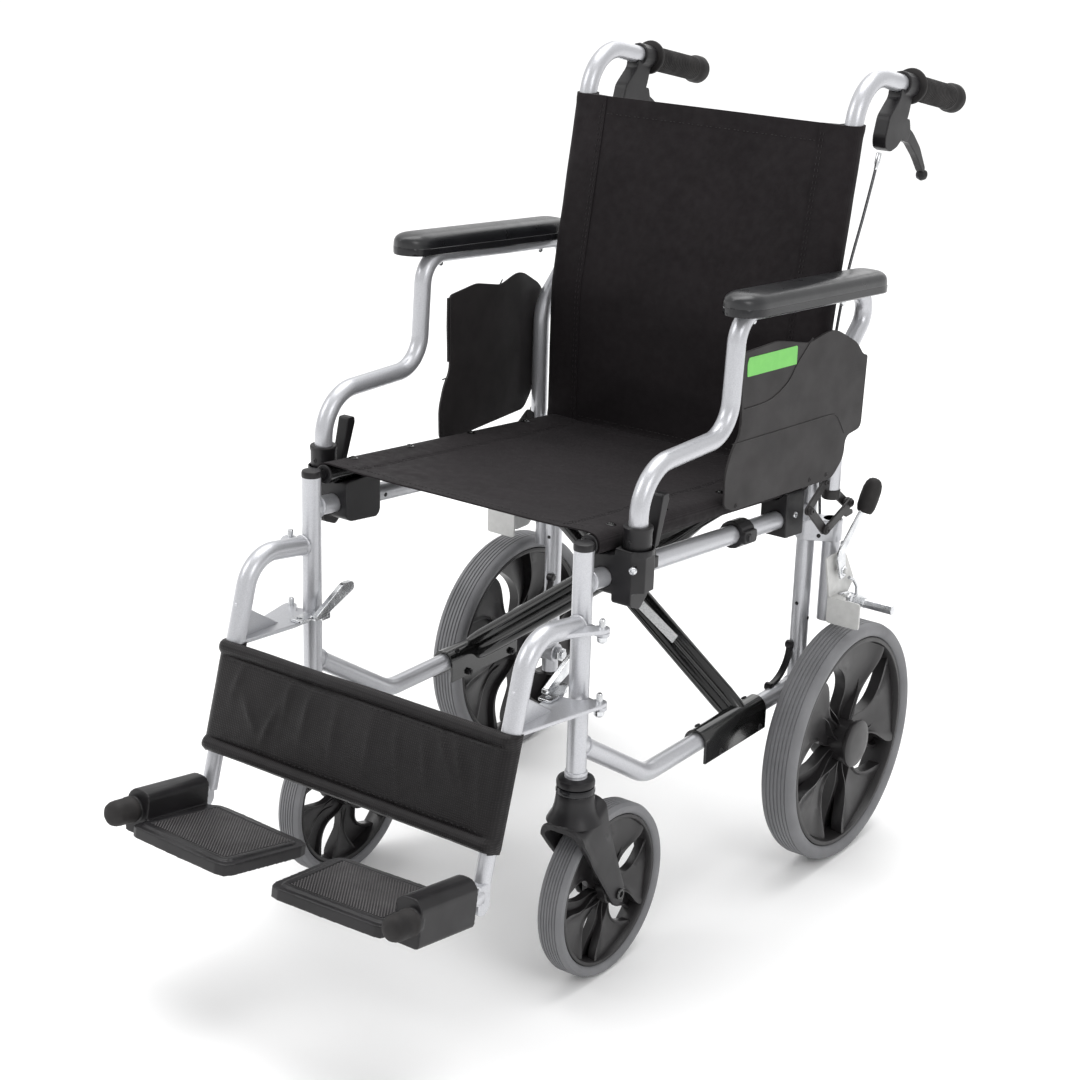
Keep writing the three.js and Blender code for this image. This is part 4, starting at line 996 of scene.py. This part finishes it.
def fan(centre, inner, outer, scale, phase, levels, facing, widths, count=5):
    """Spokes that flare to the rim: each a shallow channel with a raised lip and a deep wall along both edges.

    levels are the spokes' places along the axle at the hub and at the rim; widths are their half angles in degrees
    at the root, the waist and the tip."""
    section = [(-1, 2.6), (-0.9, 2.6), (-0.8, 0), (-0.4, -1.4), (0, -1.9), (0.4, -1.4), (0.8, 0), (0.9, 2.6), (1, 2.6)]
    section += [(1, -12), (0.88, -12), (0.8, -5), (0, -6.4), (-0.8, -5), (-0.88, -12), (-1, -12)]
    root, waist, tip = widths
    parts = []
    for k in range(count):
        rings = []
        for i in range(17):
            t = i / 16
            r = lerp(inner, outer, t)
            half = lerp(root, waist, smooth(t / 0.4)) if t < 0.4 else lerp(waist, tip, smooth((t - 0.4) / 0.6))
            bend = 6 * math.sin(math.pi * t)
            level = lerp(*levels, smooth(t))
            ring = []
            for s, lift in section:
                turn = math.radians(phase + 360 * k / count + bend + half * s)
                x = facing * (level + 3.2 * scale * s + lift * scale)
                ring.append(centre + Vector((x, r * math.sin(turn), r * math.cos(turn))) * MM)
            rings.append(ring)
        parts += skin(rings)
    return parts


def wheel(name, size, barrel, hub, segments, fans):
    """A tyre on its rim. barrel is the rim's section as (depth under the tyre's seat, place along the axle)."""
    centre = at(size["x"], size["y"], size["r"])
    seat = size["rim"]
    rubber = tyre(centre, size["r"], seat, size["width"])
    both(f"{name}_tyre_rubber", rubber, TYRE, f"{name}_wheel", f"{name}_tyre", slot="grey_tyre")
    profile = [(seat - depth, x) for depth, x in barrel + barrel[:1]]
    rim = lathe(profile, centre, OUT, segments[0])
    for inner, depth, *blades in fans:
        rim += fan(centre, inner, seat - depth, *blades)
    rim += lathe(hub + hub[:1], centre, OUT, segments[1])
    both(f"{name}_rim_moulded", rim, RIM, f"{name}_wheel", f"{name}_rim", slot="black_plastic")


def fork_shell():
    """The caster fork: an arched hood over the tyre that runs down into two tapering cheeks."""
    top, foot = Vector((-320, 197)), Vector((CASTER["y"], CASTER["r"]))
    along = (foot - top).normalized()
    across = Vector((-along.y, along.x))
    reach, cheek = 25, 14.5
    # Each station is (x, how far its skin faces out, and up, front point, rear point, depth of the side recess)
    stations = []
    for k in range(10):
        turn = math.pi / 2 * k / 9
        drop = 15 * (1 - math.cos(turn))
        front = Vector((-354 + 6 * k / 9, 205 - drop))
        rear = Vector((-297, 231 - 0.9 * drop))
        stations.append((reach * math.sin(turn) ** 0.75, math.sin(turn), math.cos(turn), front, rear, 0.0))
    for k in range(1, 12):
        t = k / 11
        side = across * lerp(27, cheek, t ** 0.9)
        middle = top.lerp(foot, t)
        stations.append((reach - 0.8 * t, 1.0, 0.0, middle - side, middle + side, smooth((t - 0.1) / 0.25)))
    for k in range(1, 7):
        turn = math.radians(14 * k)
        side, down = across * cheek * math.cos(turn), along * cheek * math.sin(turn)
        stations.append((reach - 0.8, 1.0, 0.0, foot - side + down, foot + side + down, 1 - k / 6))
    # (share of the way from front to rear, height where the skin is plain, height where it is recessed)
    outer = [
        (0, 3.6, 0.4), (0.04, 4.6, 0.9), (0.11, 2.6, 1.1), (0.25, 0.9, 1.0), (0.5, 0.9, 0.9),
        (0.7, 0.6, 0.6), (0.735, 0.5, 0.5), (0.75, 0.4, -1.4), (0.93, 0.2, -1.5), (1, -1.4, -2.4),
    ]
    inner = [(share, height, height) for share, height in ((1, -5.0), (0.5, -5.6), (0.06, -5.2), (0, -2.2))]
    rings = []
    for sign, row in ((-1, stations[::-1]), (1, stations[1:])):
        for x, out, up, front, rear, recess in row:
            ring = []
            for share, plain, cut in outer + inner:
                lift = lerp(plain, cut, recess)
                p = front.lerp(rear, share)
                ring.append(at(CASTER["x"] + sign * (x + out * lift), p.x, p.y + up * lift))
            rings.append(ring)
    return skin(rings)


def caster_forks():
    socket = [(0, 0), (6.6, 0), (6.6, 3), (5.8, 3.8), (3.6, 3.8), (3.2, 2), (0, 2)]
    bolts = []
    for facing in (1, -1):
        bolts += lathe(socket, at(CASTER["x"] + 24.2 * facing, CASTER["y"], CASTER["r"]), OUT * facing, 24)
    both("caster_bolts", bolts, GLOSS, "caster_fork")
    swivel = at(FRAME_X, FRONT_Y, 0)
    stem = [
        (0, 206), (31, 207), (28.5, 212), (25, 218), (22.8, 225), (21.6, 233), (21, 239.2), (20.4, 240.2), (0, 240.2),
    ]
    fork = fork_shell() + lathe(stem, swivel, UP, 48)
    both("caster_fork_shell", fork, PLASTIC, "caster_fork", "caster_fork", angle=45, slot="black_plastic")
    ring = [
        (12.5, 240.2), (20.4, 240.2), (21.6, 241.4), (21.8, 244),
        (20.6, 247.6), (18, 248.7), (12.5, 248.7), (12.5, 240.2),
    ]
    both("caster_race", lathe(ring, swivel, UP, 48), BAND, "caster_fork")


OUTER_FAN, INNER_FAN = (1, (28, 15, 28.5)), (-1, (24, 9, 17))
wheel(
    "rear", WHEEL,
    [
        (0, -15), (0, 15), (0.5, 17.6), (3, 18.4), (5.5, 18), (6.5, 16),
        (8, 6), (8.6, 0), (8, -8), (6.5, -16), (3, -18.4), (0.5, -17.6),
    ],
    [
        (6.6, -26), (24, -26), (26, -24.5), (27, -20), (27, 21), (28, 22), (30, 23),
        (30.6, 25), (30, 27.6), (27.4, 29), (20, 29.8), (0, 30.1), (0, 20), (6.6, 20),
    ],
    (120, 48), ((22, 7, 1.0, 8, (3, 11.5), *OUTER_FAN), (22, 7, 1.0, 26, (2, 11), *INNER_FAN)),
)
wheel(
    "caster", CASTER,
    [
        (0, -11), (0, 11), (0.4, 12.6), (2, 13), (4, 12.6), (5, 11),
        (6, 4), (6.4, 0), (6, -4), (5, -11), (2, -13), (0.4, -12.6),
    ],
    [(5.6, -16.4), (13, -16.4), (14.6, -15), (15, -12), (15, 12), (14.6, 15), (13, 16.4), (5.6, 16.4)],
    (96, 40), ((14, 5, 0.66, 24, (2, 7.5), *OUTER_FAN), (14, 5, 0.66, 42, (2, 7), *INNER_FAN)),
)
caster_forks()


# ---------------------------------------------------------------- upholstery
def sheet_of(rows, thick, normal):
    """A closed sheet from a grid of points, thick millimetres deep along each point's normal."""
    under = [[p - normal(i, j) * (thick * MM) for j, p in enumerate(row)] for i, row in enumerate(rows)]
    return skin([top + low[::-1] for top, low in zip(rows, under)])


def raised(points, lift, height):
    return [p + lift * (height * MM) for p in points]


def stitches(points, lift, pitch=5.0, length=3.2, radius=0.42):
    """A row of sewn threads that follows points, lying on the cloth on its lift side."""
    distance = 0.0
    parts = []
    up = lift * (radius * MM)
    for a, b in zip(points, points[1:]):
        span = (b - a).length / MM
        along = (b - a).normalized()
        side = along.cross(lift).normalized() * (radius * MM)
        while distance + length < span:
            p = a + along * (distance * MM)
            q = p + along * (length * MM)
            rings = [[c - side, c + up, c + side, c - up] for c in (p + along * (0.3 * MM), q - along * (0.3 * MM))]
            parts += skin([[p - up * 0.6] * 4] + rings + [[q - up * 0.6] * 4], caps=False)
            distance += pitch
        distance = max(0.0, distance - span)
    return parts


def creased(a, b, creases):
    """How high soft creases lie at (a, b), in millimetres: each is (place, turn, length, width, height)."""
    height = 0.0
    for place, turn, length, width, size in creases:
        u, v = a - place[0], b - place[1]
        along = u * math.cos(turn) + v * math.sin(turn)
        across = -u * math.sin(turn) + v * math.cos(turn)
        height += size * math.exp(-(along / length) ** 2 - 1.3 * math.sqrt((across / width) ** 2 + 0.03))
    return height


def unevenness(*rows):
    """A sum of noises, each (height, x, y, z)."""
    return sum(size * noise.noise(Vector(place)) for size, *place in rows)


SEAT_CREASES = (
    ((120, -270), 2.6, 70, 7, 1.6), ((-130, -262), 0.5, 60, 8, 1.3), ((60, 90), 3.0, 90, 9, 1.4),
    ((-70, 60), 0.2, 110, 11, 1.2), ((-20, -110), 3.0, 130, 13, 1.0), ((90, -60), 2.8, 80, 10, 1.1),
    ((0, 128), 3.14, 150, 7, 1.5),
)
BACK_CREASES = (
    ((60, 640), 0.12, 150, 9, 1.6), ((-50, 560), -0.1, 130, 10, 1.5), ((20, 735), 0.05, 160, 12, 1.0),
    ((-90, 820), -0.3, 90, 9, 1.0), ((110, 850), 0.5, 60, 8, 1.1), ((-120, 520), 0.7, 60, 8, 1.4),
    ((120, 520), -0.7, 60, 8, 1.4), ((0, 500), 0.0, 140, 7, 1.2),
)


def seat():
    front, rear, hem_x, count_y = -306, 141, 150, 96
    up = Vector((0, SEAT_SLOPE, 1)).normalized()
    r = TUBE_R + 2.2

    def wrap(x, first, last):
        """The cloth round a seat tube, from one angle to another."""
        around = []
        for k in range(9):
            turn = math.radians(lerp(first, last, k / 8))
            around.append((x + r * math.cos(turn), r * math.sin(turn), math.cos(turn), math.sin(turn)))
        return around

    rows, normals = [], []
    for i in range(count_y + 1):
        y = lerp(front, rear, i / count_y)
        ends = smooth((y - front) / 60) * smooth((rear - y) / 50)
        section = wrap(SEAT_X, -38, 78)
        for k in range(1, 80):
            x = SEAT_X * (1 - k / 40)
            s = 1 - (x / SEAT_X) ** 2
            fold = unevenness((0.8, x * 0.006, y * 0.02, 1.7), (0.7, x * 0.012, y * 0.045, 5.1))
            fold += creased(x, y, SEAT_CREASES)
            hem = (0.9 if abs(abs(x) - hem_x) < 1.6 else 0) + (0.8 if y < front + 14 or y > rear - 11 else 0)
            height = r - s * (2.0 + 5.0 * ends) + fold * min(1, s * 3) - 0.5
            section.append((x, height + (0.9 if abs(x) > hem_x else 0) + hem * 0.35, 0, 1))
        section += wrap(-SEAT_X, 102, 218)
        rows.append([at(x, y, seat_z(y)) + up * (h * MM) for x, h, _, _ in section])
        normals.append([OUT * nx + up * nz for _, _, nx, nz in section])
    skin_of = sheet_of(rows, 1.7, lambda i, j: normals[i][j])
    cloth = piece("seat_cloth", skin_of, SEAT_CLOTH, None, ["seat_sling"], angle=55, slot="black_fabric")

    lines = [[row[j] for row in rows[2 : count_y - 1]] for j in (16, 17, 79, 80)] + [rows[3][12:85]]
    threads = []
    for line in lines:
        threads += stitches(raised(line, up, 0.3), up)
    sewn = piece("seat_stitching", threads, THREAD, None)
    washer = [(0, -1), (5.6, -1), (5.6, 0.3), (4.4, 0.8), (0, 0.8)]
    heads = []
    for y in (-262, -160, -40, 72):
        for side in (1, -1):
            place = at(side * (SEAT_X - 4), y, seat_z(y)) + up * ((r + 0.2) * MM)
            heads += lathe(washer, place, up, 20) + screw(place + up * (0.7 * MM), up, 3.2, 1.7)
    pins = piece("seat_screws", heads, GLOSS, None)
    for part in (cloth, sewn, pins):
        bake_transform(part)


seat()


def cane_line(x, low, high):
    """Points up the middle of a back cane, at x."""
    bend = route([at(x, REAR_Y, 440), at(x, REAR_Y, CANE_BEND_Z), at(x, cane_y(940), 940)], [150])
    line = []
    for k in range(61):
        z = lerp(low, high, k / 60) * MM
        for a, b in zip(bend, bend[1:]):
            if a.z <= z <= b.z:
                line.append(a.lerp(b, (z - a.z) / (b.z - a.z)))
                break
    return line


def back_sleeves(low, high, seam):
    """The cloth sewn round each cane, closed on itself, with its flap turned in to the seam."""
    r = TUBE_R + 1.7
    line = cane_line(FRAME_X, low, high)
    for side, sign in SIDES:
        outline = []
        for i, p in enumerate(line):
            hem = 0.7 if i / 60 > 0.968 or i / 60 < 0.03 else 0.0
            ring = []
            for k in range(17):
                turn = math.radians(lerp(-90, 150, k / 16))
                reach = r + 0.5 + hem + unevenness((0.4, turn * 1.5, p.z * 30, 3.3))
                ring.append(p + Vector((reach * math.cos(turn), reach * math.sin(turn), 0)) * MM)
            for k in range(4):
                x = lerp(FRAME_X - 16, seam, k / 3)
                ring.append(Vector((x * MM, p.y + lerp(-4, -r + 2.2, (k + 1) / 4) * MM, p.z)))
            for k in range(7):
                x = lerp(seam, FRAME_X - 2, k / 6)
                tuck = unevenness((0.5, x * 0.05, p.z * 22, 8.1)) - math.exp(-((x - seam - 5) / 2.5) ** 2)
                ring.append(Vector((x * MM, p.y - (r + 0.4 + hem + tuck) * MM, p.z)))
            outline.append(ring)
        rides = {"body": f"frame_{side}", "mirror": sign < 0}
        looks = {"nodes": ["back_sling"], "angle": 60, "slot": "black_fabric"}
        sleeve = piece(f"back_sleeve_{side}", skin(outline), BACK_CLOTH, **rides, **looks)
        threads = []
        for offset in (3.0, 7.0):
            path = [Vector(((seam + offset) * MM, p.y - (r + 0.5) * MM, p.z)) for p in line[1:-1]]
            threads += stitches(path, AHEAD)
        sewn = piece(f"back_stitching_{side}", threads, THREAD, **rides)


def back():
    low, high, seam, columns = 483, 902, 151.5, 72
    back_sleeves(low, high, seam)
    half = seam + 6
    rows = []
    for i, p in enumerate(cane_line(0, low, high)):
        t = i / 60
        z = lerp(low, high, t)
        hem = 0.8 if t > 0.968 else 0.0
        row = []
        for k in range(columns + 1):
            x = lerp(half, -half, k / columns)
            s = max(0.0, 1 - (x / seam) ** 2)
            billow = s * (5.5 * math.sin(math.pi * min(1, t * 1.02)) + 1.0)
            fold = unevenness((0.9, x * 0.007, z * 0.012, 2.2), (0.5, x * 0.016, z * 0.03, 9.4))
            fold += creased(x, z, BACK_CREASES)
            depth = TUBE_R + 0.9 - billow + fold * min(1, s * 4) + hem
            row.append(Vector((x * MM, p.y - depth * MM, p.z)))
        rows.append(row)
    panel = sheet_of(rows, 1.6, lambda i, j: AHEAD)
    cloth = piece("back_panel", panel, BACK_CLOTH, "frame_left", ["back_sling"], angle=55, slot="black_fabric")
    threads = []
    for i in (57, 2):
        threads += stitches(raised(rows[i][2:-2], AHEAD, 0.4), AHEAD)
    sewn = piece("back_hem_stitching", threads, THREAD, "frame_left")
    for part in (cloth, sewn):
        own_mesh(part)


back()


# Each crease is (x, share of the way down the pad, turn, length, width, height)
CALF_TOP, CALF_LOW = 354.5, 233.5
CALF_CREASES = tuple(
    ((x, lerp(CALF_TOP, CALF_LOW, share)), *rest)
    for x, share, *rest in (
        (150, 0.36, 2.0, 26, 4.5, 3.0), (128, 0.3, 2.15, 30, 4.5, 2.6), (105, 0.42, 1.9, 24, 5, 1.8),
        (178, 0.5, 1.75, 34, 5, 1.8), (-60, 0.35, 1.5, 32, 6, 1.8), (-110, 0.6, 1.2, 22, 5, 2.0),
        (-140, 0.55, 2.2, 18, 5, 1.8), (-20, 0.4, 1.62, 36, 7, 1.2), (30, 0.5, 1.6, 36, 8, 1.2),
        (70, 0.5, 1.8, 30, 6, 1.3), (-165, 0.3, 1.3, 22, 5, 1.6), (-90, 0.3, 1.5, 28, 5, 1.4),
    )
)


def calf_folded(part):
    """Gives a piece of the calf pad a mesh of its own."""
    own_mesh(part)


def calf():
    slope = 74 / 255
    axis_y = lambda z: -419 - (449 - z) * slope
    front = Vector((0, -1, slope)).normalized()
    count_z, count_x, band = 40, 110, 0.115
    rows, back_rows = [], []
    for i in range(count_z + 1):
        t = i / count_z
        z = lerp(CALF_TOP, CALF_LOW, t)
        nearest = min(t, 1 - t)
        dip = sum(math.exp(-((t - seam) / 0.012) ** 2) for seam in (0.125, 0.875))
        inside = min(1, max(0, (t - 0.12) / 0.76))
        row, low = [], []
        for k in range(count_x + 1):
            x = lerp(206.5, -206.5, k / count_x)
            edge = max(0.0, 1 - (x / 200) ** 8)
            wrap = max(0.0, abs(x) - HANGER_X) / 13.5
            wrap_y = 13.0 * math.sqrt(max(0.0, 1 - min(1, wrap) ** 2))
            if nearest < band:
                puff = 5.2 * abs(math.sin(math.pi * nearest / band)) ** 0.55
                fold = 0.0
            else:
                puff = 5.0 * math.sin(math.pi * inside) ** 0.5 * edge
                fold = creased(x, z, CALF_CREASES) + unevenness((0.9, x * 0.02, z * 0.012, 4.0))
            ripple = unevenness((0.35, x * 0.09, t * 3, 7.0))
            lean = 1.6 * math.sin(x * 0.021) + 1.2 * math.sin(x * 0.043 + 1)
            rise = 0.25 * lean * edge * (1 if t < 0.2 else 0.5 if t > 0.8 else 0)
            depth = wrap_y + puff + fold * edge * 2.1 + ripple - 2.4 * dip * edge
            sag = 1.5 * edge
            under = min(depth - 3.2, 12.2 - sag) if edge > 0.35 else wrap_y * 0.97 - 1.4
            place = at(x, axis_y(z), z + rise - 0.4)
            row.append(place + front * ((depth + 1.6 - sag) * MM))
            low.append(place + front * (under * MM))
        rows.append(row)
        back_rows.append(low)
    rings = [top + low[::-1] for top, low in zip(rows, back_rows)]
    body = piece("calf_panel", skin(rings), CALF_CLOTH, "hanger_left", ["calf_pad"], angle=60, slot="black_fabric")

    profile = []
    for radius, first, last in ((12.9, -62, 215), (11.5, 215, -62)):
        for k in range(22):
            turn = math.radians(lerp(first, last, k / 21))
            profile.append(Vector((radius * math.cos(turn), radius * math.sin(turn), 0)) * MM)
    leg = [at(HANGER_X, axis_y(z), z) for z in (353.5, 330, 300, 270, 240, 234.5)]
    loops = [[p + offset for offset in profile] for p in leg]
    for side, sign in SIDES:
        loop = piece(f"calf_loop_{side}", skin(loops), TAPE, "hanger_left", ["calf_pad"], angle=50, mirror=sign < 0)
        if sign < 0:
            calf_folded(loop)
    threads = []
    for i in (6, 34):
        threads += stitches(raised(rows[i][6:-6], front, 0.5), front, pitch=5.5)
    sewn = piece("calf_stitching", threads, THREAD, "hanger_left")
    for part in (body, sewn):
        calf_folded(part)


calf()


# ---------------------------------------------------------------- studio
def lights(scene):
    world = bpy.data.worlds.new("studio")
    world.use_nodes = True
    background = world.node_tree.nodes["Background"]
    background.inputs["Color"].default_value = (1, 1, 1, 1)
    background.inputs["Strength"].default_value = 0.8
    scene.world = world
    aim = Vector((0, 0, 0.45))
    for name, place, size, power in (
        ("key", (-2.6, -2.4, 3.2), 2.0, 46),
        ("side", (3.0, -1.2, 2.4), 1.4, 24),
        ("top", (0.2, 0.6, 3.6), 2.4, 30),
        ("back", (-0.8, 3.4, 2.4), 2.4, 16),
    ):
        light = bpy.data.lights.new(name, "AREA")
        light.shape = "SQUARE"
        light.size = size
        light.energy = power
        lamp = bpy.data.objects.new(name, light)
        lamp.location = place
        lamp.rotation_euler = (aim - Vector(place)).to_track_quat("-Z", "Y").to_euler()
        scene.collection.objects.link(lamp)
    sun = bpy.data.objects.new("overhead", bpy.data.lights.new("overhead", "SUN"))
    sun.data.energy = 1.25
    sun.data.angle = math.radians(50)
    sun.rotation_euler = (math.radians(-14), math.radians(-12), 0)
    scene.collection.objects.link(sun)


def camera_at(scene, target, distance, azimuth, elevation, roll, lens):
    """A camera that looks at target, in metres and degrees; azimuth 0 is straight ahead of the chair."""
    azimuth, elevation, roll = (math.radians(a) for a in (azimuth, elevation, roll))
    flat = math.cos(elevation)
    back = Vector((math.sin(azimuth) * flat, -math.cos(azimuth) * flat, math.sin(elevation)))
    right = Vector((math.cos(azimuth), math.sin(azimuth), 0))
    up = back.cross(right)
    right, up = right * math.cos(roll) + up * math.sin(roll), up * math.cos(roll) - right * math.sin(roll)
    data = bpy.data.cameras.new("camera")
    data.sensor_width = 36
    data.lens = lens
    camera = bpy.data.objects.new("camera", data)
    place = target + back * distance
    camera.matrix_world = Matrix((right, up, back)).transposed().to_4x4()
    camera.matrix_world.translation = place
    scene.collection.objects.link(camera)
    scene.camera = camera


def studio():
    scene = bpy.context.scene
    bpy.ops.mesh.primitive_plane_add(size=60)
    floor = bpy.context.object
    floor.name = "floor"
    white = surface("floor_white", ((3, 2), (0.93,) * 3, (0.95,) * 3), ((5, 2), 0.85, 0.9))
    floor.data.materials.append(white)
    lights(scene)
    scene.view_settings.view_transform = "Standard"
    scene.view_settings.look = "None"
    camera_at(scene, at(-99.04, 0, 375.88), 2.6791, 35.67, 19.33, 1.66, 71.39)


studio()
